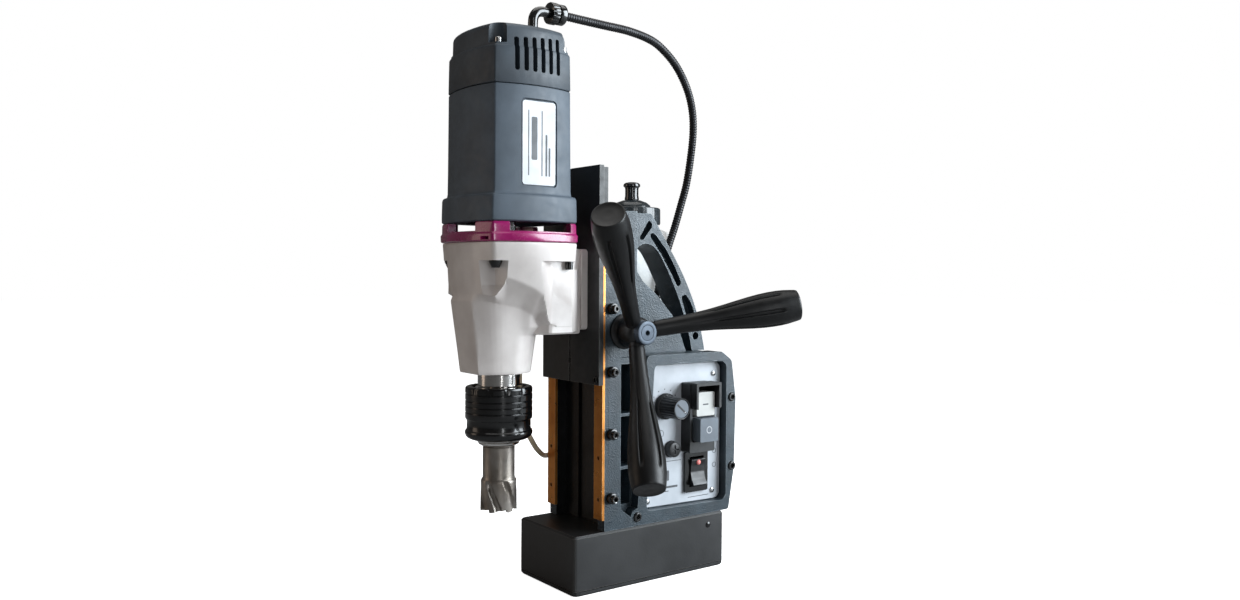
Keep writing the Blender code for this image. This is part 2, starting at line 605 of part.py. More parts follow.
sections = [
    (nose(26.0, -154.0, 13.0, -101.5), GEARBOX_LOW),
    (nose(26.6, -154.6, 13.2, -101.0), GEARBOX_LOW + 1.8),
    (nose(28.8, -156.2, 14.2, -101.0), 206.0),
    (nose(31.0, -157.2, 15.0, -92.0), 216.0),
    (nose(33.5, -158.2, 17.0, -86.0), 236.0),
    (plan(38.4, 35.4, 34.2, 6.2), 247.0),
    (plan(39.4, 36.2, 34.8, 6.4), 263.4),
    (plan(41.8, 38.4, 37.0, 6.8), 264.6),
    (plan(42.1, 38.6, 37.2, 6.8), GEARBOX_TOP),
]
gearbox = loft("gearbox_housing", [around(o, z, CENTRE) for o, z in sections], "cream", None, True)
arm = [(-112, 213), (-104, 209.6), (-64, 209.6), (-64, 279), (-112, 279)]
wide = [(21.5, -113.3), (36.4, -98.7), (36.4, -80), (23.1, -66), (-23.1, -66), (-36.4, -80), (-36.4, -98.7), (-21.5, -113.3)]
flange = rectangle(-25.6, 212.8, 25.6, 279.2, 3.0)
join(
    gearbox,
    prism("gearbox_arm", rounded(arm, [4, 2, 2, 2, 0]), "X", -24, 24, None),
    prism("arm_wide", wide, "Z", 214.6, 251.2, None),
    prism("gearbox_flange", flange, "Y", -65.0, SLIDE_FRONT - GAP, None),
)
room_rings = ((32.6, 29.2, 6.2, 245.5), (32.6, 29.2, 6.2, 264.6), (35.6, 32.0, 7.0, 265.4), (35.6, 32.0, 7.0, 300.0))
cavity = loft("gear_room", [lobed(a, b, b, c, MOTOR_Y, z) for a, b, c, z in room_rings], None)
cut(
    gearbox,
    cavity,
    bore("spindle_gear_room", "Z", (0, SPINDLE_Y), 26.6, 218.0, 246.6, 28),
    bore("lay_gear_room", "Z", (LAY_X, LAY_Y), 9.2, 219.3, 247.4, 20),
    bore("lay_shaft_seat", "Z", (LAY_X, LAY_Y), 5.0, 212.5, 230.0, 24),
    bore("bearing_seat", "Z", (0, SPINDLE_Y), 22.5, 186.0, 230.0, 24),
    bore("spindle_exit", "Z", (0, SPINDLE_Y), 17.8, 170.0, 200.0, 24),
)
corner_spots = [(sx * 41.5, MOTOR_Y + sy * 38.2) for sx in (-1, 1) for sy in (-1, 1)]
for i, (x, y) in enumerate(corner_spots):
    steps_up = ((4.0, 236.0), (9.0, 247.0), (9.4, 263.6)) if y < MOTOR_Y else ((6.6, 260.0), (6.6, 267.6))
    rings = [[(px, py, z) for px, py in circle(x, y, r, 16)] for r, z in steps_up]
    cut(gearbox, loft(f"corner_pocket_{i}", rings, None))
    cx, cy = x * 0.9, MOTOR_Y + (y - MOTOR_Y) * 0.9
    cut(gearbox, bore(f"ring_bolt_hole_{i}", "Z", (cx, cy), 1.7, 262.0, 290.0, 16))

vent = loft(
    "vent_ring",
    [lobed(42.1, 38.6, 37.2, 6.8, MOTOR_Y, z) for z in (GEARBOX_TOP + GAP, RING_TOP)],
    "magenta",
)
vent_in = lobed(35.8, 32.2, 32.2, 7.0, MOTOR_Y, 0)
cut(vent, loft("vent_room", [[(x, y, z) for x, y, _ in vent_in] for z in (288.0, 310.0)], None))
cut(
    vent,
    box("vent_slot_x", (-60, MOTOR_Y - 26.5, 291.2), (60, MOTOR_Y + 28, 310), None),
    box("vent_slot_y", (-23, MOTOR_Y - 60, 291.2), (23, MOTOR_Y + 60, 310), None),
    bore("armature_exit", "Z", (0, MOTOR_Y), 5.3, 270, 310),
    bore("lay_top_seat", "Z", (LAY_X, LAY_Y), 5.0, 270, 286.5, 24),
)

# Gear train: motor pinion, lay shaft with its wheel and pinion, and the spindle gear.
to_lay = math.atan2(LAY_Y - MOTOR_Y, LAY_X)
to_spindle = math.atan2(SPINDLE_Y - LAY_Y, -LAY_X)


def stack(name, spot, steps_up, sides=20):
    """A plain stepped shaft cutter or blank from (radius, height) pairs, going up."""
    return loft(name, [[(x, y, h) for x, y in circle(*spot, r, sides)] for r, h in steps_up], None)


motor_at, lay_at, tool_at = (0, MOTOR_Y, 0), (LAY_X, LAY_Y, 0), (0, SPINDLE_Y, 0)
armature_shaft = gear(
    "armature_shaft", "Z", (0, MOTOR_Y), 266.0, 278.0, "steel", MOTOR_TEETH, GEAR_MODULE, to_lay, motor_at
)
join(armature_shaft, stack("armature_rod", (0, MOTOR_Y), ((3.2, 277.2), (5.0, 280.0), (5.0, 428.0), (4.0, 430.0))))
half_wheel = math.pi / WHEEL_TEETH
wheel = gear(
    "lay_wheel", "Z", (LAY_X, LAY_Y), 266.6, 276.4, "steel", WHEEL_TEETH, GEAR_MODULE,
    to_lay + math.pi + half_wheel, lay_at,
)
cut(wheel, bore("wheel_bore", "Z", (LAY_X, LAY_Y), 5.0, 250, 290))
lay_shaft = gear(
    "lay_shaft", "Z", (LAY_X, LAY_Y), 221.0, 238.0, "steel", LAY_TEETH, GEAR_MODULE, to_spindle, lay_at
)
join(lay_shaft, stack("lay_rod", (LAY_X, LAY_Y), ((4.3, 213.0), (4.3, 237.0), (4.7, 239.0), (4.7, 286.0))))
spindle_gear = gear(
    "spindle_gear", "Z", (0, SPINDLE_Y), 222.0, 236.0, "steel", SPINDLE_TEETH, GEAR_MODULE,
    to_spindle + math.pi + math.pi / SPINDLE_TEETH, tool_at,
)
cut(spindle_gear, bore("spindle_gear_bore", "Z", (0, SPINDLE_Y), 12.4, 210, 250, 24))
ring_part("spindle_bearing", 22.0, 17.3, 186.4, 201.0, "steel", (0, SPINDLE_Y, 0))
gear_plate = loft(
    "gear_plate", [[(x, y, z) for x, y, _ in lobed(32.2, 28.8, 28.8, 6.2, MOTOR_Y, 0)] for z in (246.9, 252.4)],
    "aluminium",
)
cut(
    gear_plate,
    bore("plate_spindle_seat", "Z", (0, SPINDLE_Y), 10.4, 240, 250.0, 32),
    bore("plate_lay_hole", "Z", (LAY_X, LAY_Y), 5.1, 240, 260, 24),
)

# ---------------------------------------------------------------- spindle and tool
spindle_profile = [(10.1, 248.6), (10.1, 238.0), (12.0, 237.0), (12.0, 203.0), (17.0, 202.0)]
spindle_profile += [(17.0, CHUCK_TOP + 0.6), (8.9, CHUCK_TOP + 0.6), (8.9, 203.0), (4.0, 206.0), (4.0, 248.6)]
turned("spindle", spindle_profile, "steel", tool_at, loop=True, steps=24)
arbor_profile = [(8.6, 201.0), (8.6, 168.6), (18.8, 168.4), (19.2, 167.6), (19.2, 124.6), (16.2, 121.4)]
arbor_profile += [(9.9, 121.4), (9.9, 151.0), (4.4, 152.0), (4.4, 185.0), (3.0, 186.0), (3.0, 201.0)]
turned("arbor", arbor_profile, "steel", tool_at, loop=True, steps=24)
sleeve = [(21.8, CHUCK_TOP), (26.0, CHUCK_TOP), (26.8, 168.2)]
for z in (163.3, 157.8, 153.2, 148.5):
    sleeve += [(26.8, z + 0.8), (25.9, z), (26.8, z - 0.8)]
sleeve += [(26.8, 143.4), (25.6, 142.6), (25.6, 135.0), (26.7, 133.8), (26.9, 131.4), (25.8, 128.8)]
sleeve += [(23.0, 127.0), (19.6, CHUCK_LOW), (19.6, 164.0), (21.0, 165.0)]
turned("chuck_sleeve", sleeve, "plastic", tool_at, loop=True, steps=20)

# Annular cutter: a bored shank, then a fluted shell with raked teeth.
cutter_loops = []
FLUTES = 6
for k in range(36):
    here = k / 36 * FLUTES

    def gullet(twist, depth):
        t = (here + twist) % 1.0
        return depth * max(0.0, 1 - abs(t - 0.5) / 0.2) ** 0.7 if abs(t - 0.5) < 0.2 else 0.0

    low = CUTTER_LOW + 2.6 * (here % 1.0)
    cutter_loops.append(
        [(4.1, 149.0), (9.0, 149.0), (9.5, 148.4), (9.5, 121.0), (12.8, 120.8), (12.8, 96.0), (13.9, 94.0)]
        + [(14.3 - gullet(0.50, 1.6), 90.0), (14.4 - gullet(0.36, 2.0), 82.0)]
        + [(14.5 - gullet(0.22, 2.1), 75.0), (14.6 - gullet(0.10, 2.2), low)]
        + [(11.6, low), (11.6, 93.0), (4.1, 93.0)]
    )
spun("annular_cutter", cutter_loops, "steel", tool_at)
turned(
    "ejector_pin",
    [(0, 158.0), (3.8, 157.6), (3.8, 71.0), (2.2, 69.0), (0, 69.0)],
    "steel",
    tool_at,
    steps=24,
)

# ---------------------------------------------------------------- motor
shell_rings = [
    (39.6, 36.2, 7.4, RING_TOP + GAP), (40.0, 36.5, 7.4, 300.0), (39.8, 36.3, 7.4, COLLAR_TOP - 1.2),
    (39.0, 35.6, 7.3, COLLAR_TOP), (36.5, 33.2, 7.1, COLLAR_TOP + 0.8), (36.3, 33.0, 7.0, COLLAR_TOP + 4.0),
    (35.8, 32.5, 7.0, BODY_TOP),
]
motor = loft(
    "motor_housing", [lobed(a + 1.3, b + 1.4, b, c - 0.6, MOTOR_Y, z) for a, b, c, z in shell_rings], "grey_plastic", None, True
)
cut(
    motor,
    bore("stator_bore", "Z", (0, MOTOR_Y), 33.8, 316.0, 420, 28),
    bore("fan_room", "Z", (0, MOTOR_Y), 35.8, 290, 317.0, 28),
    prism("name_plate_seat", rectangle(-130.5, 326.5, -100.0, 391.5, 3.0), "X", 41.0, 50, None),
)
for i, (x, y) in enumerate(((33.4, -30.2), (-33.4, -30.2), (33.4, 30.2), (-33.4, 30.2))):
    cut(motor, bore(f"shell_bolt_hole_{i}", "Z", (x, MOTOR_Y + y), 1.6, 385, 410, 16))
cap_rings = [
    (36.0, 32.7, 7.0, BODY_TOP + GAP), (35.6, 32.4, 7.0, 430.6), (34.4, 31.3, 6.8, 431.6),
    (33.9, 30.8, 6.7, 445.0), (32.6, 29.6, 6.4, 448.0), (27.0, 24.4, 5.0, 450.4), (14.0, 12.6, 2.4, CAP_TOP),
]
cap = loft("motor_cap", [lobed(a + 1.3, b + 1.4, b, c - 0.6, MOTOR_Y, z) for a, b, c, z in cap_rings], "grey_plastic", None, True)
cut(cap, bore("brush_room", "Z", (0, MOTOR_Y), 32.0, 395, 439.5, 28))
for side in (-1, 1):
    for k in range(6):
        y = -134.6 + 7.42 * k
        x0, x1 = sorted((side * 24.0, side * 60.0))
        lift = 0.6 * k
        outline = rectangle(y - 1.9, 413.0, y + 1.9, 438.2 + lift, 1.8, 2)
        cut(cap, prism(f"cap_slot_{side}_{k}", outline, "X", x0, x1, None))
for i, (x, y) in enumerate(((34.5, -31.2), (-34.5, -31.2), (34.5, 31.2), (-34.5, 31.2))):
    notch = circle(x, MOTOR_Y + y, 6.6, 16)
    cut(cap, prism(f"cap_notch_{i}", notch, "Z", 433.0, 470, None))
cut(cap, bore("elbow_hole", "Z", (0, -94.9), 4.3, 430, 470, 24))

stator_loops = []
for k in range(24):
    slot_in = 1.5 if k % 12 in (5, 6) else 0.0
    stator_loops.append([(33.2, 392.0), (33.2, 328.0), (23.0 + slot_in, 328.0), (23.0 + slot_in, 392.0)][::-1])
spun("stator", stator_loops, "copper", (0, MOTOR_Y, 0))
armature_loops = []
for k in range(36):
    r = 22.2 if k % 3 < 2 else 19.0
    armature_loops.append([(5.3, 388.0), (12.0, 388.0), (r, 382.0), (r, 336.0), (12.0, 330.0), (5.3, 330.0)])
spun("armature_core", armature_loops, "steel", (0, MOTOR_Y, 0))
commutator_loops = []
for k in range(24):
    r = 13.0 if k % 2 else 12.2
    commutator_loops.append([(5.3, 412.0), (r, 411.5), (r, 396.0), (14.2, 395.0), (14.2, 393.0), (5.3, 393.0)])
spun("commutator", commutator_loops, "copper", (0, MOTOR_Y, 0))
fan_loops = []
for k in range(28):
    high = 312.0 if k % 4 < 2 else 303.5
    fan_loops.append([(5.3, 312.5), (9.0, 312.5), (12.0, high), (33.0, high - 0.4), (33.0, 301.0), (5.3, 301.0)])
spun("cooling_fan", fan_loops, "plastic", (0, MOTOR_Y, 0))
for side, name in ((-1, "brush_left"), (1, "brush_right")):
    x0, x1 = sorted((side * 13.4, side * 28.0))
    holder = box(name, (x0, MOTOR_Y - 4.5, 399.0), (x1, MOTOR_Y + 4.5, 407.0), "brass")

# ---------------------------------------------------------------- conduit
elbow_way = [((0, 0, 1), (0, -94.9, 441.0)), ((0, 0, 1), (0, -94.9, 464.0)), ((0, 0.38, 0.92), (0, -94.1, 468.0))]
elbow_way += [((0, 0.92, 0.38), (0, -90.6, 472.0)), ((0, 1, 0), (0, -87.0, 473.2)), ((0, 1, 0), (0, -76.0, 473.2))]
elbow_rings = []
for along, spot in elbow_way:
    up = Vector((1, 0, 0)).cross(Vector(along))
    elbow_rings.append([Vector(spot) + Vector((1, 0, 0)) * a + up * b for a, b in circle(0, 0, 4.0, 12)])
elbow = loft("conduit_elbow", elbow_rings, "plastic", None, True)
nut_steps = ((5.4, -80.0), (9.0, -79.0), (9.0, -73.4), (7.2, -73.0), (7.2, -71.8), (8.4, -71.4), (8.4, -66.0), (6.6, -65.0))
join(elbow, loft("conduit_nut", [[(x, y, 473.2 + z) for x, z in circle(0, 0, r, 12)] for r, y in nut_steps], None))
CONDUIT = [(0, -64.4, 473.2), (0, -50, 472.6), (-1, -24, 472.0), (-3, 5, 471.6), (-5, 30.5, 468.2)]
CONDUIT += [(-7, 47.5, 461.6), (-9, 65.0, 449.0), (-11, 79.4, 430.8), (-13, 87.6, 411.8)]
CONDUIT += [(-16, 91.4, 391.6), (-19, 91.0, 367.6), (-21.5, 88.3, 343.6), (-23.5, 84.0, 325.6)]
CONDUIT += [(-24.6, 76.9, 303.0), (-24.8, 69.0, 283.0), (-24.8, 60.0, 255.0), (-24.8, 54.4, 225.0)]
CONDUIT += [(-24.8, 52, 200), (-24.8, 52, 184)]
tube("motor_conduit", smooth_path(CONDUIT, 2), 3.7, "plastic", 2)

# ---------------------------------------------------------------- coolant
tank_plan = rectangle(-74, 8, -29, 80, 9.0)
tank_small = rectangle(-72.5, 9.5, -30.5, 78.5, 8.0)
neck_at = (-51.5, 46.5)
tank = loft(
    "coolant_tank",
    [[(x, y, z) for x, y in o] for o, z in (
        (tank_small, TANK_LOW), (tank_plan, TANK_LOW + 3), (tank_plan, TANK_TOP - 9),
        (rectangle(-71.5, 10.5, -31.5, 77.5, 8.0), TANK_TOP - 2.6),
        (rectangle(-67, 15, -36, 73, 7.0), TANK_TOP),
    )],
    "tank_plastic",
)
join(tank, bore("tank_neck", "Z", neck_at, 19.6, TANK_TOP - 3, 308.0, 24))
tank_hollow = rectangle(-72, 10, -31, 78, 7.5)
cut(
    tank,
    prism("tank_room", tank_hollow, "Z", TANK_LOW + 2.4, TANK_TOP - 9.5, None),
    bore("neck_room", "Z", neck_at, 17.4, TANK_TOP - 12, 320, 24),
    bore("outlet_hole", "Z", (-60, 20), 2.2, 190, 215, 16),
)
turned(
    "tank_cap",
    [(4.3, 325.0), (9.0, 325.0), (14.5, 323.0), (16.6, 319.6), (16.9, 318.4), (25.6, 318.0)]
    + [(26.8, 317.0), (27.0, 305.0), (26.4, 304.0), (20.0, 304.0), (20.0, 310.5), (4.3, 310.5)],
    "plastic",
    (*neck_at, 0),
    loop=True,
)
turned(
    "cap_plunger",
    [(0, 345.6), (5.0, 345.2), (8.0, 343.6), (8.0, 341.0), (6.4, 340.2), (6.3, 330.0), (6.6, 326.4)]
    + [(4.0, 326.0), (4.0, 306.0), (0, 305.0)],
    "plastic",
    (*neck_at, 0),
    steps=20,
)
turned(
    "outlet_tap",
    [(0, 214.0), (1.9, 213.6), (1.9, TANK_LOW - GAP), (5.0, TANK_LOW - GAP), (5.0, 196.0), (2.6, 195.0)]
    + [(2.6, 187.6), (0, 187.0)],
    "brass",
    (-60, 20, 0),
    steps=24,
)
HOSE = [(-18, -95.4, 209.0), (-18, -95.4, 190), (-17, -96, 165), (-15, -95, 145), (-14, -92, 130), (-18, -84, 119)]
HOSE += [(-30, -70, 107), (-46, -52, 98), (-56, -36, 101), (-62, -10, 128), (-63, 10, 156), (-61, 19, 172)]
HOSE += [(-60, 20, 186.6)]
tube("coolant_hose", smooth_path(HOSE, 2), 2.2, "hose_plastic", 2)
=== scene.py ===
"""Looks of the magnetic drill press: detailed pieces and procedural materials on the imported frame."""

import json
import math

import bmesh
import bpy
from mathutils import Matrix, Vector

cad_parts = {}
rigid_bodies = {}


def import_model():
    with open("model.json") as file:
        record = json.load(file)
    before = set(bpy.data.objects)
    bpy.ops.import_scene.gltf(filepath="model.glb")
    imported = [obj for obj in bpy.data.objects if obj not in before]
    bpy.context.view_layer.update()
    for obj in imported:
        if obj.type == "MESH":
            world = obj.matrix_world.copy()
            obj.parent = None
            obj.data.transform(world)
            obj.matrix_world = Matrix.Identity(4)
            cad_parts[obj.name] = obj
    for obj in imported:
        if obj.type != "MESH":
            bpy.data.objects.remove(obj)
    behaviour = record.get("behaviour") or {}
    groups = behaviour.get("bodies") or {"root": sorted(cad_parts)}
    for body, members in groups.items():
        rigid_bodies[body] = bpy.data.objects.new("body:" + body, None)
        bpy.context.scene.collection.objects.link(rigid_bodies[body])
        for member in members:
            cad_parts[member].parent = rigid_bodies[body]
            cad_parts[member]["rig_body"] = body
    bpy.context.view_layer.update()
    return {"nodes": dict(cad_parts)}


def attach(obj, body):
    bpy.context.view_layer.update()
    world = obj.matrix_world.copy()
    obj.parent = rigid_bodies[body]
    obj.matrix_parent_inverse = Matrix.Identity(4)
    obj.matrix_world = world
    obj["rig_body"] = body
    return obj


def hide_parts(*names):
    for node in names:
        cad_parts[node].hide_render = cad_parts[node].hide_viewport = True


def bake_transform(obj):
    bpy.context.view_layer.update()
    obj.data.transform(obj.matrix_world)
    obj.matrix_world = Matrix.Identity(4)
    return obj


for old in list(bpy.data.objects):
    bpy.data.objects.remove(old, do_unlink=True)

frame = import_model()
nodes = frame["nodes"]
MM = 0.001
scene = bpy.context.scene

# Places along the drill axis and the feed axis, in millimetres, as the solids have them.
MOTOR_Y, SPINDLE_Y = -116.0, -125.5
FEED_Y, FEED_Z = -30.8, 211.7
GIB_SCREW_Y = -44.0
RING_LOW, RING_TOP, BODY_TOP, CAP_TOP = 283.0, 298.3, 402.5, 451.3
SPOKE_X, SPOKE_TILT, SPOKE_PHASE = 55.8, 30.0, 130.9
PANEL_X = 33.0

# ---------------------------------------------------------------- camera, light and floor
LOOK = Matrix(((0.59675, -0.01978, 0.80218), (0.80241, 0.00790, -0.59673), (0.00546, 0.99977, 0.02058)))
camera = bpy.data.objects.new("camera", bpy.data.cameras.new("camera"))
camera.data.lens, camera.data.sensor_width = 28.81, 36.0
camera.data.shift_y = -0.00524
camera.data.clip_start = 0.01
camera.matrix_world = Matrix.Translation((0.69467, -0.52178, 0.2596)) @ LOOK.to_4x4()
scene.collection.objects.link(camera)
scene.camera = camera


def area_light(name, spot, size, power, colour):
    data = bpy.data.lights.new(name, "AREA")
    data.shape, data.size, data.size_y = "RECTANGLE", *size
    data.energy, data.color = power, colour
    lamp = bpy.data.objects.new(name, data)
    lamp.location = spot
    lamp.rotation_euler = (Vector((0, -0.05, 0.24)) - Vector(spot)).to_track_quat("-Z", "Y").to_euler()
    scene.collection.objects.link(lamp)


area_light("softbox", (1.2, 1.15, 0.8), (1.2, 1.5), 72, (0.86, 0.94, 1.0))
area_light("strip", (1.75, -0.58, 0.55), (0.12, 1.3), 5.0, (0.95, 0.98, 1.0))
area_light("top", (-0.1, 0.1, 1.7), (1.4, 1.4), 10, (1.0, 0.99, 0.97))
area_light("left", (-0.9, -1.5, 0.5), (0.6, 1.2), 2.9, (1.0, 0.8, 0.64))

world = bpy.data.worlds.new("studio")
world.use_nodes = True
sky = world.node_tree
seen = sky.nodes.new("ShaderNodeBackground")
seen.inputs["Color"].default_value = (1, 1, 1, 1)
seen.inputs["Strength"].default_value = 1.0
around_light = sky.nodes["Background"]
around_light.inputs["Color"].default_value = (1.0, 0.97, 0.94, 1)
around_light.inputs["Strength"].default_value = 0.105
path = sky.nodes.new("ShaderNodeLightPath")
choose = sky.nodes.new("ShaderNodeMixShader")
sky.links.new(path.outputs["Is Camera Ray"], choose.inputs["Fac"])
sky.links.new(around_light.outputs[0], choose.inputs[1])
sky.links.new(seen.outputs[0], choose.inputs[2])
sky.links.new(choose.outputs[0], sky.nodes["World Output"].inputs["Surface"])
scene.world = world
scene.view_settings.view_transform = "Standard"


# ---------------------------------------------------------------- materials
def tone(red, green, blue):
    """Linear colour from 0 to 255 display values."""
    return tuple(
        ((c / 255) / 12.92 if c < 11 else ((c / 255 + 0.055) / 1.055) ** 2.4)
        for c in (red, green, blue)
    )


def wire(tree, source, target):
    tree.links.new(source, target)


def finish(name, dark, light, rough=(0.4, 0.6), metallic=0.0, patch=45.0, grain=1500.0, bump=0.15,
           edge=None, wear_and_painted_edge=0.6, pattern=None, **sockets):
    """A procedural surface: mottled colour, uneven gloss, fine grain, and edges mixed toward the edge colour:
    lighter edges on the paints, a painted highlight on the brass edges and a painted dark outline on the tank.
    """
    made = bpy.data.materials.new(name)
    made.use_nodes = True
    tree = made.node_tree
    shader = tree.nodes["Principled BSDF"]
    shader.inputs["Metallic"].default_value = metallic
    for socket, value in sockets.items():
        shader.inputs[socket.replace("_", " ")].default_value = value
    where = tree.nodes.new("ShaderNodeTexCoord").outputs["Object"]

    def clouds(scale, detail=4.0):
        node = tree.nodes.new("ShaderNodeTexNoise")
        node.inputs["Scale"].default_value = scale
        node.inputs["Detail"].default_value = detail
        wire(tree, where, node.inputs["Vector"])
        return node.outputs["Fac"]

    ramp = tree.nodes.new("ShaderNodeValToRGB")
    ramp.color_ramp.elements[0].position, ramp.color_ramp.elements[1].position = 0.36, 0.66
    ramp.color_ramp.elements[0].color = (*tone(*dark), 1)
    ramp.color_ramp.elements[1].color = (*tone(*light), 1)
    wire(tree, clouds(patch), ramp.inputs["Fac"])
    colour = ramp.outputs["Color"]
    # The edge colour is partly painted light: it paints a highlight on the brass edges and a dark outline on the
    # tank.
    if edge is not None:
        round_edge = tree.nodes.new("ShaderNodeBevel")
        round_edge.samples = 4
        round_edge.inputs["Radius"].default_value = 0.0006
        turned_by = tree.nodes.new("ShaderNodeVectorMath")
        turned_by.operation = "DOT_PRODUCT"
        wire(tree, round_edge.outputs["Normal"], turned_by.inputs[0])
        wire(tree, tree.nodes.new("ShaderNodeNewGeometry").outputs["Normal"], turned_by.inputs[1])
        limit = tree.nodes.new("ShaderNodeMapRange")
        limit.inputs["From Min"].default_value, limit.inputs["From Max"].default_value = 0.985, 0.90
        limit.inputs["To Max"].default_value = wear_and_painted_edge
        wire(tree, turned_by.outputs["Value"], limit.inputs["Value"])
        worn_and_painted_edge = tree.nodes.new("ShaderNodeMix")
        worn_and_painted_edge.data_type = "RGBA"
        wire(tree, limit.outputs["Result"], worn_and_painted_edge.inputs["Factor"])
        wire(tree, colour, worn_and_painted_edge.inputs["A"])
        worn_and_painted_edge.inputs["B"].default_value = (*tone(*edge), 1)
        colour = worn_and_painted_edge.outputs["Result"]
    wire(tree, colour, shader.inputs["Base Color"])
    gloss = tree.nodes.new("ShaderNodeMapRange")
    gloss.inputs["From Min"].default_value, gloss.inputs["From Max"].default_value = 0.3, 0.7
    gloss.inputs["To Min"].default_value, gloss.inputs["To Max"].default_value = rough
    wire(tree, clouds(patch * 3.1), gloss.inputs["Value"])
    wire(tree, gloss.outputs["Result"], shader.inputs["Roughness"])

    height = clouds(grain, 2.0)
    relief = tree.nodes.new("ShaderNodeBump")
    relief.inputs["Strength"].default_value = bump
    relief.inputs["Distance"].default_value = 0.0002
    if pattern == "hammered":
        cells = tree.nodes.new("ShaderNodeTexVoronoi")
        cells.inputs["Scale"].default_value = 900.0
        wire(tree, where, cells.inputs["Vector"])
        height = cells.outputs["Distance"]
        relief.inputs["Distance"].default_value = 0.0006
    elif pattern in ("turned", "brushed"):
        lines = tree.nodes.new("ShaderNodeTexNoise")
        lines.inputs["Scale"].default_value = 900.0
        stretch = tree.nodes.new("ShaderNodeMapping")
        stretch.inputs["Scale"].default_value = (0.02, 0.02, 1.0) if pattern == "turned" else (1.0, 1.0, 0.02)
        wire(tree, where, stretch.inputs["Vector"])
        wire(tree, stretch.outputs["Vector"], lines.inputs["Vector"])
        height = lines.outputs["Fac"]
    elif pattern in ("wound", "laminated"):
        bands = tree.nodes.new("ShaderNodeTexWave")
        bands.bands_direction = "Z"
        bands.inputs["Scale"].default_value = 260.0 if pattern == "wound" else 500.0
        bands.inputs["Distortion"].default_value = 0.6
        wire(tree, where, bands.inputs["Vector"])
        height = bands.outputs["Fac"]
        relief.inputs["Distance"].default_value = 0.0008
    wire(tree, height, relief.inputs["Height"])
    wire(tree, relief.outputs["Normal"], shader.inputs["Normal"])
    return made


def paint_shade_between_gibs(material, limit_y, half_width):
    """Painted shade on the way between the gibs: near black in front of limit_y and within half_width of the
    middle.
    """
    tree = material.node_tree
    spot, split = tree.nodes.new("ShaderNodeTexCoord"), tree.nodes.new("ShaderNodeSeparateXYZ")
    wire(tree, spot.outputs["Object"], split.inputs[0])
    front, across = tree.nodes.new("ShaderNodeMath"), tree.nodes.new("ShaderNodeMath")
    front.operation, front.inputs[1].default_value = "LESS_THAN", limit_y
    across.operation, across.inputs[1].default_value = "COMPARE", 0.0
    across.inputs[2].default_value = half_width
    between = tree.nodes.new("ShaderNodeMath")
    between.operation = "MULTIPLY"
    wire(tree, split.outputs["Y"], front.inputs[0])
    wire(tree, split.outputs["X"], across.inputs[0])
    wire(tree, front.outputs[0], between.inputs[0])
    wire(tree, across.outputs[0], between.inputs[1])
    painted = tree.nodes["Principled BSDF"].inputs["Base Color"]
    painted_shade = tree.nodes.new("ShaderNodeMix")
    painted_shade.data_type = "RGBA"
    wire(tree, between.outputs[0], painted_shade.inputs["Factor"])
    wire(tree, painted.links[0].from_socket, painted_shade.inputs["A"])
    painted_shade.inputs["B"].default_value = (*tone(9, 10, 11), 1)
    wire(tree, painted_shade.outputs["Result"], painted)


BLACK, DARK = (14, 14, 15), (30, 31, 33)
motor_plastic = finish("moulded_grey", (66, 76, 86), (76, 87, 98), (0.48, 0.62), grain=2200, bump=0.35)
cap_plastic = finish("moulded_dark", (50, 58, 66), (60, 70, 79), (0.45, 0.6), grain=2200, bump=0.3)
magenta = finish("gloss_magenta", (140, 14, 86), (158, 20, 100), (0.2, 0.32), bump=0.06, Coat_Weight=0.5)
cream = finish(
    "cream_paint", (214, 206, 202), (228, 221, 217), (0.34, 0.5), grain=1600, bump=0.22, Coat_Weight=0.25,
)
chrome = finish(
    "chromed_steel", (196, 192, 188), (222, 220, 218), (0.08, 0.18), 1.0, pattern="turned", bump=0.12,
)
gloss_black = finish("gloss_black", (10, 10, 11), (17, 17, 18), (0.14, 0.26), bump=0.05, Coat_Weight=0.6)
chuck_black = finish(
    "blackened_steel", (5, 5, 6), (11, 11, 12), (0.16, 0.26), 0.1, pattern="turned", bump=0.02,
    Coat_Weight=0.3
)
tool_steel = finish(
    "ground_steel", (128, 120, 112), (158, 152, 146), (0.3, 0.48), 0.9, pattern="turned", bump=0.3,
)
bright = finish("bright_steel", (150, 150, 150), (190, 190, 190), (0.2, 0.36), 1.0, bump=0.15)
column_paint = finish(
    "hammered_paint", (36, 46, 53), (50, 62, 70), (0.3, 0.46), 0.1, pattern="hammered", bump=0.32,
    edge=(150, 162, 168)
)
# Painted shade: the channel between the gibs is darkened to near black, because it lies in shadow.
paint_shade_between_gibs(column_paint, limit_y=-0.0372, half_width=0.0315)
base_paint = finish(
    "base_paint", (7, 7, 8), (16, 16, 18), (0.36, 0.46), patch=12, grain=700, bump=0.2, edge=(120, 116, 110),
    Specular_IOR_Level=0.75,
)
slide_black = finish(
    "slide_black", (14, 14, 15), (24, 24, 26), (0.34, 0.5), patch=60, bump=0.25, edge=(150, 148, 142),
)
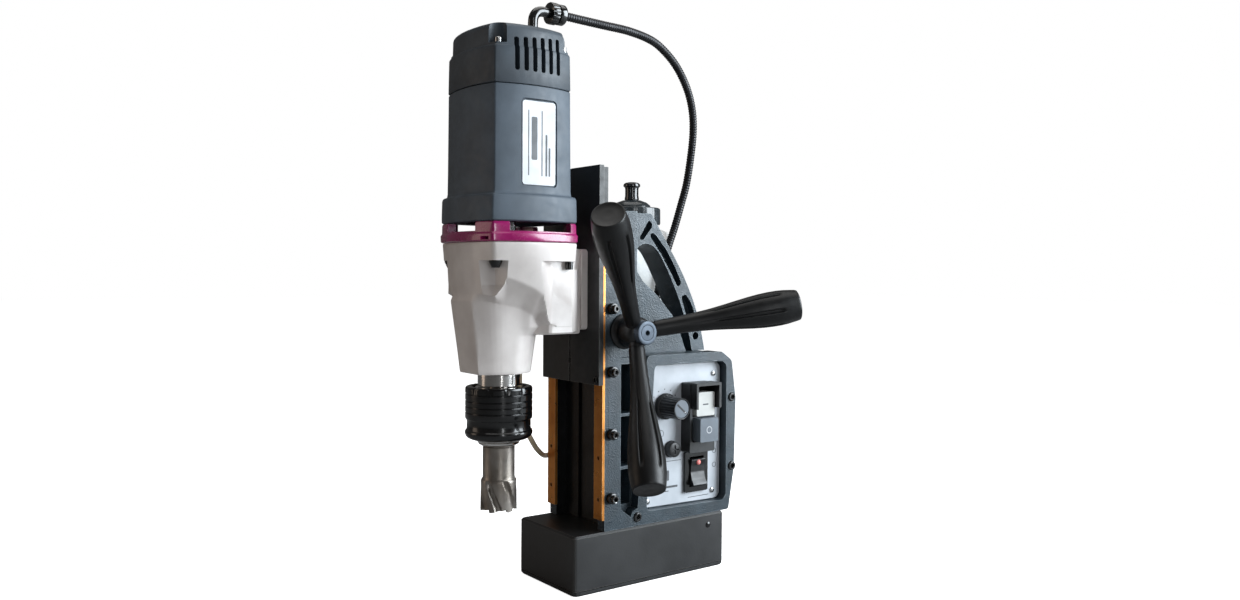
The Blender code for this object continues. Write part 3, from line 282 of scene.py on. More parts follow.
# Its cream edge colour paints a highlight on the edges, where the side faces catch the softbox.
brass = finish(
    "gib_brass", (192, 118, 48), (214, 140, 66), (0.26, 0.4), 0.8, pattern="brushed", bump=0.25,
    edge=(238, 222, 180),
)
satin = finish("satin_black", BLACK, DARK, (0.42, 0.56), grain=1900, bump=0.4)
lid_grey = finish("lid_grey", (30, 35, 38), (44, 50, 54), (0.2, 0.32), bump=0.06, Coat_Weight=0.3)
grip_black = finish(
    "grip_black", (8, 8, 9), (15, 15, 16), (0.34, 0.44), grain=1900, bump=0.1, Specular_IOR_Level=0.35,
)
knob_black = finish("knob_black", BLACK, (24, 24, 26), (0.34, 0.46), grain=1500, bump=0.2)
grey_key = finish("grey_plastic", (88, 95, 103), (102, 110, 119), (0.35, 0.5), bump=0.15)
white_key = finish("white_plastic", (178, 178, 175), (194, 194, 190), (0.34, 0.46), bump=0.1)
panel_white = finish("panel_metal", (172, 177, 183), (186, 190, 196), (0.42, 0.55), 0.1, bump=0.12)
label_white = finish("label_metal", (176, 178, 182), (192, 194, 198), (0.36, 0.5), 0.1, bump=0.1)
ink = finish("ink_grey", (70, 72, 76), (92, 94, 98), (0.5, 0.6), bump=0.05)
ink_black = finish("ink_black", (20, 20, 22), (34, 34, 36), (0.4, 0.55), bump=0.05)
alloy = finish(
    "machined_alloy", (176, 178, 180), (206, 207, 209), (0.22, 0.36), 0.95, pattern="brushed", bump=0.3,
)
disc_alloy = finish("turned_disc", (66, 74, 84), (88, 97, 108), (0.42, 0.56), 0.55, bump=0.2)
copper = finish("wound_copper", (150, 78, 40), (186, 104, 58), (0.3, 0.45), 0.9, pattern="wound", bump=0.6)
copper_bar = finish("commutator_copper", (168, 92, 54), (198, 122, 78), (0.25, 0.4), 1.0, bump=0.15)
laminated = finish(
    "laminated_steel", (92, 92, 94), (120, 120, 122), (0.35, 0.5), 0.8, pattern="laminated", bump=0.5,
)
board_green = finish("board_green", (18, 74, 38), (28, 96, 50), (0.3, 0.5), bump=0.2)
red_lamp = finish("red_lamp", (206, 96, 92), (236, 138, 132), (0.2, 0.35), bump=0.05)
conduit_black = finish("conduit_black", (24, 24, 26), (46, 46, 48), (0.22, 0.36), 0.55, grain=900, bump=0.1)
beige = finish("hose_beige", (196, 176, 146), (214, 196, 168), (0.34, 0.46), bump=0.12)
# Its darker edge colour paints a dark outline round the tank, standing in for shade at grazing angles.
clear = finish(
    "tank_clear", (226, 230, 230), (238, 241, 241), (0.46, 0.56), bump=0.05, patch=20, edge=(96, 106, 112),
    wear_and_painted_edge=0.9,
    Alpha=0.4,
)
floor_white = finish(
    "floor_white", (236, 236, 236), (242, 242, 242), (0.8, 0.9), patch=2, grain=60, bump=0.02,
)
tree = floor_white.node_tree
glow = tree.nodes.new("ShaderNodeEmission")
glow.inputs["Strength"].default_value = 0.92
dim = tree.nodes.new("ShaderNodeBsdfDiffuse")
dim.inputs["Color"].default_value = (0.3, 0.3, 0.3, 1)
both, pick = tree.nodes.new("ShaderNodeAddShader"), tree.nodes.new("ShaderNodeMixShader")
wire(tree, tree.nodes["Principled BSDF"].outputs[0], both.inputs[0])
wire(tree, glow.outputs[0], both.inputs[1])
wire(tree, tree.nodes.new("ShaderNodeLightPath").outputs["Is Camera Ray"], pick.inputs["Fac"])
wire(tree, dim.outputs[0], pick.inputs[1])
wire(tree, both.outputs[0], pick.inputs[2])
wire(tree, pick.outputs[0], tree.nodes["Material Output"].inputs["Surface"])

sheet = bpy.data.meshes.new("floor")
sheet.from_pydata([(-9, -9, 0), (9, -9, 0), (9, 9, 0), (-9, 9, 0)], [], [(0, 1, 2, 3)])
floor = bpy.data.objects.new("floor", sheet)
sheet.materials.append(floor_white)
floor.location.z = -0.0004
scene.collection.objects.link(floor)


# ---------------------------------------------------------------- shape tools
def skin(name, rings, round_trip=False, caps=True):
    """Skins closed rings of equal length, given as points in millimetres."""
    bm = bmesh.new()
    rows = [[bm.verts.new(Vector(p) * MM) for p in ring] for ring in rings]
    pairs = list(zip(rows, rows[1:] + rows[:1])) if round_trip else list(zip(rows, rows[1:]))
    for low, high in pairs:
        for i in range(len(low)):
            j = (i + 1) % len(low)
            bm.faces.new((low[i], low[j], high[j], high[i]))
    if caps and not round_trip:
        bm.faces.new(rows[0][::-1])
        bm.faces.new(rows[-1])
    return from_bmesh(name, bm)


def from_bmesh(name, bm):
    bmesh.ops.remove_doubles(bm, verts=bm.verts, dist=1e-7)
    bmesh.ops.recalc_face_normals(bm, faces=bm.faces)
    mesh = bpy.data.meshes.new(name)
    bm.to_mesh(mesh)
    bm.free()
    obj = bpy.data.objects.new(name, mesh)
    scene.collection.objects.link(obj)
    return obj


def rounded(outline, radius, steps=5):
    """The outline with each corner replaced by a curve, where a radius or list of radii allows."""
    count = len(outline)
    radii = radius if isinstance(radius, (list, tuple)) else [radius] * count
    points = []
    for i, corner in enumerate(outline):
        here = Vector(corner)
        back = Vector(outline[i - 1]) - here
        ahead = Vector(outline[(i + 1) % count]) - here
        if radii[i] <= 0:
            points.append(tuple(here))
            continue
        reach = min(radii[i] / math.tan(back.angle(ahead) / 2), 0.49 * back.length, 0.49 * ahead.length)
        start, end = here + back.normalized() * reach, here + ahead.normalized() * reach
        for k in range(steps + 1):
            t = k / steps
            points.append(tuple(start * (1 - t) ** 2 + here * 2 * t * (1 - t) + end * t * t))
    return points


def rectangle(a0, b0, a1, b1, radius=0.0, steps=5):
    outline = [(a0, b0), (a1, b0), (a1, b1), (a0, b1)]
    return rounded(outline, radius, steps) if radius else outline


def circle(a, b, radius, steps=48):
    turn = [2 * math.pi * k / steps for k in range(steps)]
    return [(a + radius * math.cos(t), b + radius * math.sin(t)) for t in turn]


def raised(outline, axis, at):
    """An outline as 3-D points on the plane at that place along X (Y, Z), Y (X, Z) or Z (X, Y)."""
    if axis == "X":
        return [(at, y, z) for y, z in outline]
    if axis == "Y":
        return [(x, at, z) for x, z in outline]
    return [(x, y, at) for x, y in outline]


def prism(name, outline, axis, low, high):
    return skin(name, [raised(outline, axis, at) for at in (low, high)])


def box(name, low, high):
    (x0, y0, z0), (x1, y1, z1) = low, high
    return prism(name, rectangle(x0, y0, x1, y1), "Z", z0, z1)


AXES = {
    "Z": Matrix.Identity(3),
    "X": Matrix(((0, 0, 1), (1, 0, 0), (0, 1, 0))),
    "Y": Matrix(((1, 0, 0), (0, 0, 1), (0, 1, 0))),
}


def lathe(name, profile, centre, turn="Z", steps=72, loop=False, dip=None):
    """Spins (radius, height) points; dip(angle, height) is taken off the radius. Radius 0 closes an end."""
    frame_of = AXES[turn] if isinstance(turn, str) else turn
    middle = Vector(centre)
    bm = bmesh.new()
    rows = []
    for radius, h in profile:
        row = []
        for k in range(steps):
            a = 2 * math.pi * k / steps
            r = max(0.0, radius - (dip(a, h) if dip and radius > 0 else 0.0))
            row.append(bm.verts.new((middle + frame_of @ Vector((r * math.cos(a), r * math.sin(a), h))) * MM))
        rows.append(row)
    for low, high in zip(rows, rows[1:] + rows[:1] if loop else rows[1:]):
        for i in range(steps):
            j = (i + 1) % steps
            bm.faces.new((low[i], low[j], high[j], high[i]))
    if not loop:
        bm.faces.new(rows[0])
        bm.faces.new(rows[-1])
    bmesh.ops.remove_doubles(bm, verts=bm.verts, dist=1e-6)
    bmesh.ops.dissolve_degenerate(bm, edges=bm.edges, dist=1e-7)
    loose = [f for f in bm.faces if f.calc_area() < 1e-14]
    bmesh.ops.delete(bm, geom=loose, context="FACES_ONLY")
    return from_bmesh(name, bm)


def carve(target, *tools, operation="DIFFERENCE"):
    """Cuts or joins the tools now, and removes them."""
    for tool in tools:
        change = target.modifiers.new(tool.name, "BOOLEAN")
        change.operation, change.solver, change.object = operation, "EXACT", tool
    graph = bpy.context.evaluated_depsgraph_get()
    mesh = bpy.data.meshes.new_from_object(target.evaluated_get(graph), depsgraph=graph)
    target.modifiers.clear()
    target.data = mesh
    for tool in tools:
        bpy.data.objects.remove(tool, do_unlink=True)
    return target


def weld(target, *tools):
    return carve(target, *tools, operation="UNION")


def polish(obj, bevel, angle=30.0, tidy=False, segments=2):
    """Rounds the hard edges a little, so that they catch light as real ones do."""
    if tidy:
        flat = obj.modifiers.new("flat", "DECIMATE")
        flat.decimate_type, flat.angle_limit = "DISSOLVE", math.radians(0.6)
    if bevel:
        soft = obj.modifiers.new("soft_edges", "BEVEL")
        soft.width, soft.segments = bevel * MM, segments
        soft.limit_method, soft.angle_limit = "ANGLE", math.radians(angle)
        soft.harden_normals, soft.use_clamp_overlap, soft.miter_outer = True, True, "MITER_ARC"


def piece(obj, surface, slot, body, *stands_for, bevel=0.3, angle=30.0):
    """Finishes a new piece: smooth shading, soft edges, material, body and the CAD nodes it stands for."""
    obj.data.shade_smooth()
    if bevel:
        polish(obj, bevel, angle)
    else:
        obj.data.set_sharp_from_angle(angle=math.radians(angle))
    obj.data.materials.clear()
    obj.data.materials.append(surface)
    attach(obj, body)
    if stands_for:
        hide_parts(*stands_for)
    return obj


def dress(name, surface, bevel=0.0, angle=30.0, segments=2):
    """A CAD node that stays: its own shape, a procedural material and soft edges."""
    obj = nodes[name]
    for i in range(len(obj.material_slots)):
        obj.material_slots[i].material = surface
    if bevel:
        polish(obj, bevel, angle, tidy=True, segments=segments)


def smooth_path(points, per_span=6):
    """A Catmull-Rom path through the given points."""
    pts = [Vector(p) for p in points]
    pts = [2 * pts[0] - pts[1], *pts, 2 * pts[-1] - pts[-2]]
    route = []
    for a, b, c, d in zip(pts, pts[1:], pts[2:], pts[3:]):
        for k in range(per_span):
            t = k / per_span
            bend = (3 * b - a - 3 * c + d) * t**3 + (2 * a - 5 * b + 4 * c - d) * t**2
            route.append(0.5 * (bend + (c - a) * t + 2 * b))
    return [*route, pts[-2]]


def evenly(route, step):
    """The same route with points a fixed distance apart."""
    spots, left = [route[0]], step
    for a, b in zip(route, route[1:]):
        length = (b - a).length
        while left <= length:
            spots.append(a.lerp(b, left / length))
            left += step
        left -= length
    return [*spots, route[-1]]


def hose(name, route, radius_at, sides=14):
    """A mesh tube along the route, with no twist, whose radius radius_at(index) gives."""
    side = Vector((1, 0, 0))
    rings = []
    for i, spot in enumerate(route):
        along = (route[min(i + 1, len(route) - 1)] - route[max(i - 1, 0)]).normalized()
        side = (side - along * side.dot(along)).normalized()
        up = along.cross(side)
        r = radius_at(i)
        rings.append([spot + side * a + up * b for a, b in circle(0, 0, r, sides)])
    return skin(name, rings)


# ---------------------------------------------------------------- conduit and coolant hose
CONDUIT = [(0, -64.4, 473.2), (0, -50, 472.6), (-1, -24, 472.0), (-3, 5, 471.6), (-5, 30.5, 468.2)]
CONDUIT += [(-7, 47.5, 461.6), (-9, 65.0, 449.0), (-11, 79.4, 430.8), (-13, 87.6, 411.8)]
CONDUIT += [(-16, 91.4, 391.6), (-19, 91.0, 367.6), (-21.5, 88.3, 343.6), (-23.5, 84.0, 325.6)]
CONDUIT += [(-24.6, 76.9, 303.0), (-24.8, 69.0, 283.0), (-24.8, 60.0, 255.0), (-24.8, 54.4, 225.0)]
CONDUIT += [(-24.8, 52, 200), (-24.8, 52, 184)]
HOSE = [
    (-18, -95.4, 209.0), (-18, -95.4, 190), (-17, -96, 165), (-15, -95, 145), (-14, -92, 130),
    (-18, -84, 119), (-30, -70, 107), (-46, -52, 98), (-56, -36, 101), (-62, -10, 128),
    (-63, 10, 156), (-61, 19, 172), (-60, 20, 186.6),
]


PITCH = 2.4
conduit_way = evenly(smooth_path(CONDUIT, 8), PITCH / 4)
conduit = hose("conduit_hose", conduit_way, lambda i: (3.7, 3.55, 3.2, 3.55)[i % 4])
piece(conduit, conduit_black, "black_plastic", "head", "motor_conduit", bevel=0, angle=80)
conduit.parent = None
del conduit["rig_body"]
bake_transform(conduit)
hose_way = evenly(smooth_path(HOSE, 8), 3.0)
coolant = hose("coolant_line", hose_way, lambda i: 2.2, 20)
piece(coolant, beige, "hose_beige", "head", "coolant_hose", bevel=0, angle=60)
coolant.parent = None
del coolant["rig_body"]
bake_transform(coolant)


# ---------------------------------------------------------------- motor
def lobed(cx, cy, bulge, centre=MOTOR_Y, corner=0.014, per_side=18):
    """A four-sided outline with bulging sides and small round corners, around (0, centre)."""
    corners = [(cx, cy), (-cx, cy), (-cx, -cy), (cx, -cy)]
    sides = []
    for (ax, ay), (bx, by) in zip(corners, corners[1:] + corners[:1]):
        out = Vector((by - ay, ax - bx)).normalized()
        side = []
        for k in range(per_side + 1):
            t = corner + (1 - 2 * corner) * k / per_side
            swell = bulge * 4 * t * (1 - t)
            side.append(
                Vector((ax + (bx - ax) * t + out.x * swell, centre + ay + (by - ay) * t + out.y * swell)),
            )
        sides.append(side)
    outline = []
    for side, after, tip in zip(sides, sides[1:] + sides[:1], corners[1:] + corners[:1]):
        outline += side
        tip = Vector((tip[0], centre + tip[1]))
        for t in (0.25, 0.5, 0.75):
            outline.append(side[-1] * (1 - t) ** 2 + tip * 2 * t * (1 - t) + after[0] * t * t)
    return [tuple(p) for p in outline]


def tower(name, rings):
    """A solid with lobed sections: (half width, half depth, bulge, height)."""
    return skin(
        name, [raised(lobed(cx + 2.3, cy + 1.4, b - 0.6, MOTOR_Y - 1.4), "Z", z) for cx, cy, b, z in rings],
    )


shell = tower("motor_shell", [
    (39.2, 35.8, 7.3, RING_TOP + 0.3), (39.9, 36.5, 7.4, RING_TOP + 1.2), (40.0, 36.6, 7.4, 303.0),
    (39.8, 36.3, 7.4, 316.6), (39.4, 35.9, 7.4, 318.2), (38.6, 35.2, 7.3, 319.1), (37.2, 33.8, 7.2, 319.5),
    (36.7, 33.4, 7.1, 320.2), (36.4, 33.1, 7.0, 322.4), (36.2, 32.9, 7.0, 340.0), (35.8, 32.5, 7.0, 401.6),
    (35.4, 32.1, 7.0, BODY_TOP),
])
carve(
    shell,
    prism("stator_bore", circle(0, MOTOR_Y, 33.8, 72), "Z", 310.0, 420),
    prism("fan_room", circle(0, MOTOR_Y, 35.8, 72), "Z", 290, 316.0),
    prism("plate_seat", rectangle(-131.4, 325.4, -99.0, 392.6, 4.0), "X", 41.9, 60),
)
piece(shell, motor_plastic, "motor_plastic", "head", "motor_housing", bevel=0.25, angle=35)

top = tower("motor_top", [
    (35.6, 32.3, 7.0, BODY_TOP + 0.6), (35.9, 32.7, 7.0, BODY_TOP + 1.3), (35.7, 32.5, 7.0, 418.0),
    (35.5, 32.3, 7.0, 430.0), (35.1, 31.9, 7.0, 431.2), (34.7, 31.2, 6.9, 431.8), (34.6, 31.0, 6.9, 433.0),
    (34.2, 30.8, 6.8, 444.0), (33.5, 30.4, 6.6, 446.2), (32.4, 29.4, 6.4, 448.0), (30.0, 27.0, 5.8, 449.4),
    (24.0, 21.6, 4.6, 450.6), (12.0, 10.8, 2.2, CAP_TOP),
])
tools = [prism("brush_room", circle(0, MOTOR_Y, 32.0, 72), "Z", 395, 439.5)]
for side in (-1, 1):
    for k in range(6):
        y = -134.6 + 7.42 * k
        low, high = sorted((side * 24.0, side * 60.0))
        slot = rectangle(y - 1.9, 413.0, y + 1.9, 438.4 + 0.6 * k, 1.85, 4)
        tools.append(prism(f"slot_{side}_{k}", slot, "X", low, high))
for sx in (-1, 1):
    for sy in (-1, 1):
        tools.append(
            prism(f"notch_{sx}_{sy}", circle(sx * 36.2, MOTOR_Y + sy * 32.8, 7.6, 40), "Z", 433.4, 470),
        )
tools.append(prism("elbow_hole", circle(0, -94.9, 4.3, 32), "Z", 430, 470))
carve(top, *tools)
piece(top, cap_plastic, "motor_plastic", "head", "motor_cap", bevel=0.35, angle=35)

for i, (sx, sy) in enumerate(((1, -1), (1, 1), (-1, -1), (-1, 1))):
    head = [(0, 436.4), (1.3, 436.4), (1.3, 438.0), (2.6, 438.0), (3.0, 437.5), (3.0, 433.2), (0, 433.2)]
    screw = lathe(f"cap_screw_{i + 1}", head, (sx * 32.4, MOTOR_Y + sy * 29.2, 0), steps=36)
    piece(screw, bright, "bright_steel", "head", bevel=0.12)

plate = prism("motor_label", rectangle(-130.2, 326.8, -100.2, 391.2, 2.8), "X", 40.2, 42.9)
piece(plate, label_white, "panel_metal", "head", bevel=0.3)
for i, (y, width, low, high) in enumerate((
    (-124.6, 0.45, 334, 384), (-119.4, 2.6, 346, 379), (-112.6, 0.45, 334, 384), (-108.6, 0.8, 334, 366),
    (-105.8, 0.8, 334, 356),
)):
    stripe = rectangle(y - width, low, y + width, high, width * 0.45, 3)
    mark = prism(f"label_mark_{i + 1}", stripe, "X", 42.7, 42.98)
    piece(mark, ink, None, "head", bevel=0)

# Magenta air ring: open windows between corner posts, with a small ledge below.
vent = tower("vent_band", [
    (39.6, 36.0, 7.3, RING_LOW), (40.6, 37.0, 7.4, RING_LOW + 0.9), (40.8, 37.2, 7.4, 288.6),
    (40.3, 36.7, 7.4, 289.6), (39.9, 36.3, 7.4, 290.2), (39.8, 36.2, 7.4, 296.8), (39.2, 35.7, 7.3, RING_TOP),
])
carve(
    vent,
    skin("vent_room", [raised(lobed(35.8, 32.2, 7.0), "Z", z) for z in (288.0, 310.0)]),
    box("vent_window_x", (-60, MOTOR_Y - 26.5, 291.2), (60, MOTOR_Y + 29.5, 310)),
    box("vent_window_y", (-23, MOTOR_Y - 60, 291.2), (23, MOTOR_Y + 60, 310)),
    prism("vent_bore", circle(0, MOTOR_Y, 5.3, 32), "Z", 270, 310),
    prism("lay_seat", circle(15.85, -100.03, 5.0, 32), "Z", 270, 286.5),
    box("vent_latch", (30.5, -165, 284.4), (39.0, -154, 286.9)),
)
piece(vent, magenta, "vent_plastic", "head", "vent_ring", bevel=0.35, angle=32)

# ---------------------------------------------------------------- gearbox casting
GEAR_CENTRE = Vector((0.0, -122.0))


def reach(outline, angle):
    """How far a convex outline goes from the gearbox centre in one direction."""
    way = Vector((math.cos(angle), math.sin(angle)))
    best = 0.0
    for a, b in zip(outline, outline[1:] + outline[:1]):
        start, along = Vector(a) - GEAR_CENTRE, Vector(b) - Vector(a)
        across = way.x * along.y - way.y * along.x
        if abs(across) < 1e-9:
            continue
        r = (start.x * along.y - start.y * along.x) / across
        s = (start.x * way.y - start.y * way.x) / across
        if r > 0 and -1e-6 <= s <= 1 + 1e-6:
            best = max(best, r)
    return best


def nose(z):
    """The spindle nose at a height: blunt at the front, then round about the spindle at the rear."""
    t = max(0.0, min(1.0, (z - 180) / 56))
    width, tip, blunt = 26.0 + 7.5 * t, -152.5 - 7.1 * t, 15.5 + 1.8 * t
    rear = width - 0.6 if z < 211 else width + 4 * min(1.0, (z - 211) / 6)
    half = [(blunt, tip), (width - 3.0, tip + 13.5)]
    half += [(width, SPINDLE_Y + 1)] + [
        (rear * math.cos(a), SPINDLE_Y + rear * math.sin(a)) for a in (0.25, 0.5, 0.75, 1.0, 1.25, 1.5)
    ]
    radii = [1.4, 40, 20] + [4] * 6
    return rounded(half + [(-x, y) for x, y in half[::-1]], radii + radii[::-1], 4)


def upper(z):
    t = max(0.0, min(1.0, (z - 236) / 46))
    return lobed(38.9 + 3.2 * t, 35.3 + 2.6 * t, 6.2 + 0.6 * t, MOTOR_Y - 0.7)


WAIST = [(38.0, -60), (38.0, -101), (41.8, -106), (50, -118), (50, -170)]
WAIST = [(-x, y) for x, y in WAIST] + WAIST[::-1]


def eased(t):
    t = max(0.0, min(1.0, t))
    return t * t * (3 - 2 * t)


# Along each side the nose ends at FOOT and the upper body at RIDGE, as (place along Y, height).
FOOT = [(-151, 237.5), (-125, 231.7), (-113, 224.5), (-107, 217.0), (-102, 212.6)]
RIDGE = [
    (-151, 243.0), (-144, 256.0), (-134, 252.7), (-122, 248.0), (-113, 242.8), (-108.5, 232.0),
    (-105, 217.0),
]


def along(line, y):
    """The height of a line of points at a place, level beyond its ends."""
    if y <= line[0][0]:
        return line[0][1]
    for (ya, za), (yb, zb) in zip(line, line[1:]):
        if y <= yb:
            return za + (zb - za) * (y - ya) / (yb - ya)
    return line[-1][1]


heights = [180.0, 180.5, 181.4, 183.0, 190, 198, 206, 208.0] + [209 + 1.0 * k for k in range(50)]
heights += [260.0, 262.0, 264.0, 266.0, 268.2, 268.6, 272.0, 277.0, 281.0, 282.0, 282.7]
rings = []
for z in heights:
    low, high = nose(z), upper(z)
    inset = 0.5 * max(0.0, 1 - (z - 180.0) / 1.4) + 0.5 * max(0.0, 1 - (282.7 - z) / 0.9)
    ring = []
    for k in range(180):
        a = 2 * math.pi * (k + 0.5) / 180
        inner, outer = reach(low, a), reach(high, a)
        if z < 268.4:
            outer = min(outer, reach(WAIST, a))
        foot = along(FOOT, GEAR_CENTRE.y + inner * math.sin(a))
        ridge = along(RIDGE, GEAR_CENTRE.y + outer * math.sin(a))
        rise = max(0.0, min(1.0, (z - foot) / max(3.0, ridge - foot)))
        r = inner + (outer - inner) * rise - inset
        ring.append((GEAR_CENTRE.x + r * math.cos(a), GEAR_CENTRE.y + r * math.sin(a), z))
    rings.append(ring)
casting = skin("gearbox_casting", rings)
arm_outline = rounded([(-112, 214), (-104, 210), (-64, 210), (-64, 279), (-112, 279)], [4, 2, 2, 2, 0])
pillar = [(-36.6, -101.6), (-37.4, -99.4), (-37.4, -80), (-33.4, -76.5), (-25, -66), (25, -66), (33.4, -76.5)]
pillar += [(37.4, -80), (37.4, -99.4), (36.6, -101.6), (20, -114), (-20, -114)]
pillar_ring = rounded(pillar, [2, 2, 2, 4, 8, 8, 4, 2, 2, 2, 0, 0], 3)
pillar_rings = [
    [(x * f, -90 + (y + 90) * f, z) for x, y in pillar_ring]
    for f, z in ((0.97, 211.2), (1, 212.2), (1, 262.0))
]
weld(
    casting,
    skin("pillar", pillar_rings),
    prism("arm_back", arm_outline, "X", -24.3, 24.3),
    prism("flange", rectangle(-26.0, 212.9, 26.0, 279.1, 4.0), "Y", -63.4, -57.6),
)
tools = [
    skin("lower_room", [raised(lobed(32.6, 29.2, 6.2), "Z", z) for z in (245.5, 264.6)]),
    skin("gear_room", [raised(lobed(35.6, 32.0, 7.0), "Z", z) for z in (269.4, 300.0)]),
    skin("room_between", [raised(lobed(32.2, 28.8, 6.2), "Z", z) for z in (264.0, 270.0)]),
    prism("wheel_room", circle(15.85, -100.03, 19.9), "Z", 252.0, 269.8),
    prism("spindle_gear_room", circle(0, SPINDLE_Y, 26.6), "Z", 218.0, 246.6),
    prism("bearing_seat", circle(0, SPINDLE_Y, 22.5), "Z", 186.0, 230.0),
    prism("spindle_exit", circle(0, SPINDLE_Y, 17.8), "Z", 170.0, 200.0),
    prism("lay_gear_room", circle(15.85, -100.03, 9.2), "Z", 219.3, 247.4),
    prism("lay_shaft_seat", circle(15.85, -100.03, 5.0), "Z", 212.5, 230.0),
]
for sx in (-1, 1):
    full = [(24.6, -159.5), (31.5, -147.0), (45.5, -142.6), (52.0, -160.0), (40.0, -168.0)]
    low = [(26.0, -158.6), (36.0, -152.6), (41.0, -150.0), (46.0, -158.0), (38.0, -164.0)]
    pocket = [raised(low, "Z", 240.4), raised(full, "Z", 250.0), raised(full, "Z", 268.8)]
    shift = 0.0 if sx > 0 else 2.2
    mirrored = [[(sx * x - shift, y, z) for x, y, z in ring] for ring in pocket]
    tools.append(skin(f"corner_pocket_{sx}", mirrored))
carve(casting, *tools)
piece(casting, cream, "gearbox_paint", "head", "gearbox_housing", bevel=0.5, angle=38)
for i, (x, y) in enumerate(((36.6, -149.6), (-36.6, -149.6), (40.6, -85.4), (-40.6, -85.4))):
    high = 269.4 if y < -100 else 268.2
    # The front screws' heads widen into a black cone: partly the real screw, partly a painted shadow in their
    # pockets.
    wide = 5.2 if y < -100 else 3.3
    head = [
        (0, high - 3.4), (1.5, high - 3.4), (1.5, high - 6.2), (3.0, high - 6.2), (wide, high - 1.6),
        (wide, high), (0, high),
    ]
    piece(lathe(f"gearbox_screw_{i + 1}", head, (x, y, 0), steps=36), chuck_black, None, "head", bevel=0.12)

# ---------------------------------------------------------------- spindle, chuck and cutter
SPIN = (0, SPINDLE_Y, 0)
nose_shaft = lathe("spindle_nose", [
    (10.1, 248.6), (10.1, 238.0), (12.0, 237.0), (12.0, 203.0), (16.9, 202.0), (16.9, 181.6), (16.3, 181.0),
    (16.3, 179.4), (17.0, 178.8), (17.0, 169.6), (8.9, 169.6), (8.9, 203.0), (4.0, 206.0), (4.0, 248.6),
], SPIN, steps=96, loop=True)
piece(nose_shaft, chrome, "bright_steel", "spindle", "spindle", bevel=0.2)
arbor = lathe("arbor_body", [
    (8.6, 201.0), (8.6, 168.6), (18.8, 168.4), (19.2, 167.6), (19.2, 126.0), (16.8, 124.6), (16.2, 123.0),
    (13.2, 121.2), (9.9, 121.2), (9.9, 151.0), (4.4, 152.0), (4.4, 185.0), (3.0, 186.0), (3.0, 201.0),
], SPIN, steps=96, loop=True)
piece(arbor, chrome, "bright_steel", "spindle", "arbor", bevel=0.25)

sleeve = [(21.8, 169.0), (25.2, 169.0), (26.3, 168.5), (26.8, 167.4)]
for z in (163.3, 157.8, 153.2, 148.5):
    sleeve += [(26.8, z + 0.55), (26.2, z + 0.4), (26.0, z), (26.2, z - 0.4), (26.8, z - 0.55)]
sleeve += [
    (26.8, 144.0), (26.5, 143.3), (25.8, 142.6), (25.5, 141.6), (25.5, 135.8), (25.9, 134.6), (26.7, 133.8),
]
sleeve += [
    (27.0, 132.6), (26.9, 131.2), (26.3, 129.6), (25.0, 128.2), (23.0, 127.2), (20.8, 126.6), (19.6, 126.4),
]
sleeve += [(19.6, 164.0), (21.0, 165.0)]


def notches(angle, height):
    """Shallow finger notches around the upper rim of the chuck sleeve."""
    if height < 158.5 or height > 169.5:
        return 0.0
    turn = (angle * 12 / math.pi) % 2.0
    return 0.75 * max(0.0, 1 - abs(turn - 1) / 0.28) ** 0.5


chuck = lathe(
    "chuck_shell", sleeve, SPIN, steps=168, loop=True, dip=lambda a, h: notches(a, h) if h > 164.5 else 0,
)
piece(chuck, chuck_black, "chuck_black", "sleeve", "chuck_sleeve", bevel=0.18, angle=24)

FLUTES, AROUND = 6, 144


def cutter_loop(here):
    """One section of the annular cutter: bored shank, deep helical flute, raked saw tooth."""
    def flute(twist, depth):
        t = abs((here + twist) % 1.0 - 0.5)
        return depth * eased((0.17 - t) / 0.05)

    tooth = 2.6 * (here % 1.0) ** 1.3
    loop = [
        (4.1, 149.0), (8.7, 149.0), (9.4, 148.3), (9.5, 121.0), (12.2, 120.9), (12.8, 120.2), (12.8, 96.4),
    ]
    loop += [(13.2, 95.0), (13.9, 94.2)]
    for n in range(13):
        z = 93.2 - n * 1.7
        loop.append((14.3 + 0.02 * n - flute(0.62 - 0.05 * n, min(2.4, 0.8 + 0.5 * n)), z))
    low = 69.0 + tooth
    cutting = flute(0.0, 2.4)
    loop += [(14.6 - cutting, low + 0.3), (11.6, low + 0.6), (11.6, 93.0), (4.1, 93.0)]
    return loop


bm = bmesh.new()
rows = []
for k in range(AROUND):
    a = 2 * math.pi * k / AROUND
    rows.append([
        bm.verts.new(Vector((r * math.cos(a), SPINDLE_Y + r * math.sin(a), h)) * MM)
        for r, h in cutter_loop(k / AROUND * FLUTES)
    ])
for here, there in zip(rows, rows[1:] + rows[:1]):
    for i in range(len(here)):
        j = (i + 1) % len(here)
        bm.faces.new((here[i], there[i], there[j], here[j]))
cutter = from_bmesh("cutter_body", bm)
piece(cutter, tool_steel, "cutter_steel", "spindle", "annular_cutter", bevel=0, angle=32)

# ---------------------------------------------------------------- feed hub, end disc and grips
FEED = (0, FEED_Y, FEED_Z)
tilt = math.radians(SPOKE_TILT)
hub = lathe("hub_body", [
    (0, 65.8), (8.8, 65.8), (9.9, 65.4), (11.2, 64.0), (12.2, 61.6), (12.7, 59.0), (12.8, 52.0), (12.4, 49.6),
    (11.7, 47.6), (12.3, 45.2), (13.4, 43.6), (14.6, 42.8), (14.8, 41.4), (0, 41.4),
], FEED, "X", steps=72)
grip_shape = [
    (0.0, 6.7), (12, 6.9), (24, 7.3), (36, 8.0), (48, 9.0), (60, 10.5), (70, 11.9), (80, 13.2), (89, 14.1),
]
grip_shape += [(97, 14.5), (104, 14.5), (110, 14.1), (115, 13.4), (119.0, 12.8), (120.2, 12.4), (120.4, 12.0)]
grip_shape += [(120.1, 11.3), (119.8, 6.0), (119.7, 3.0)]


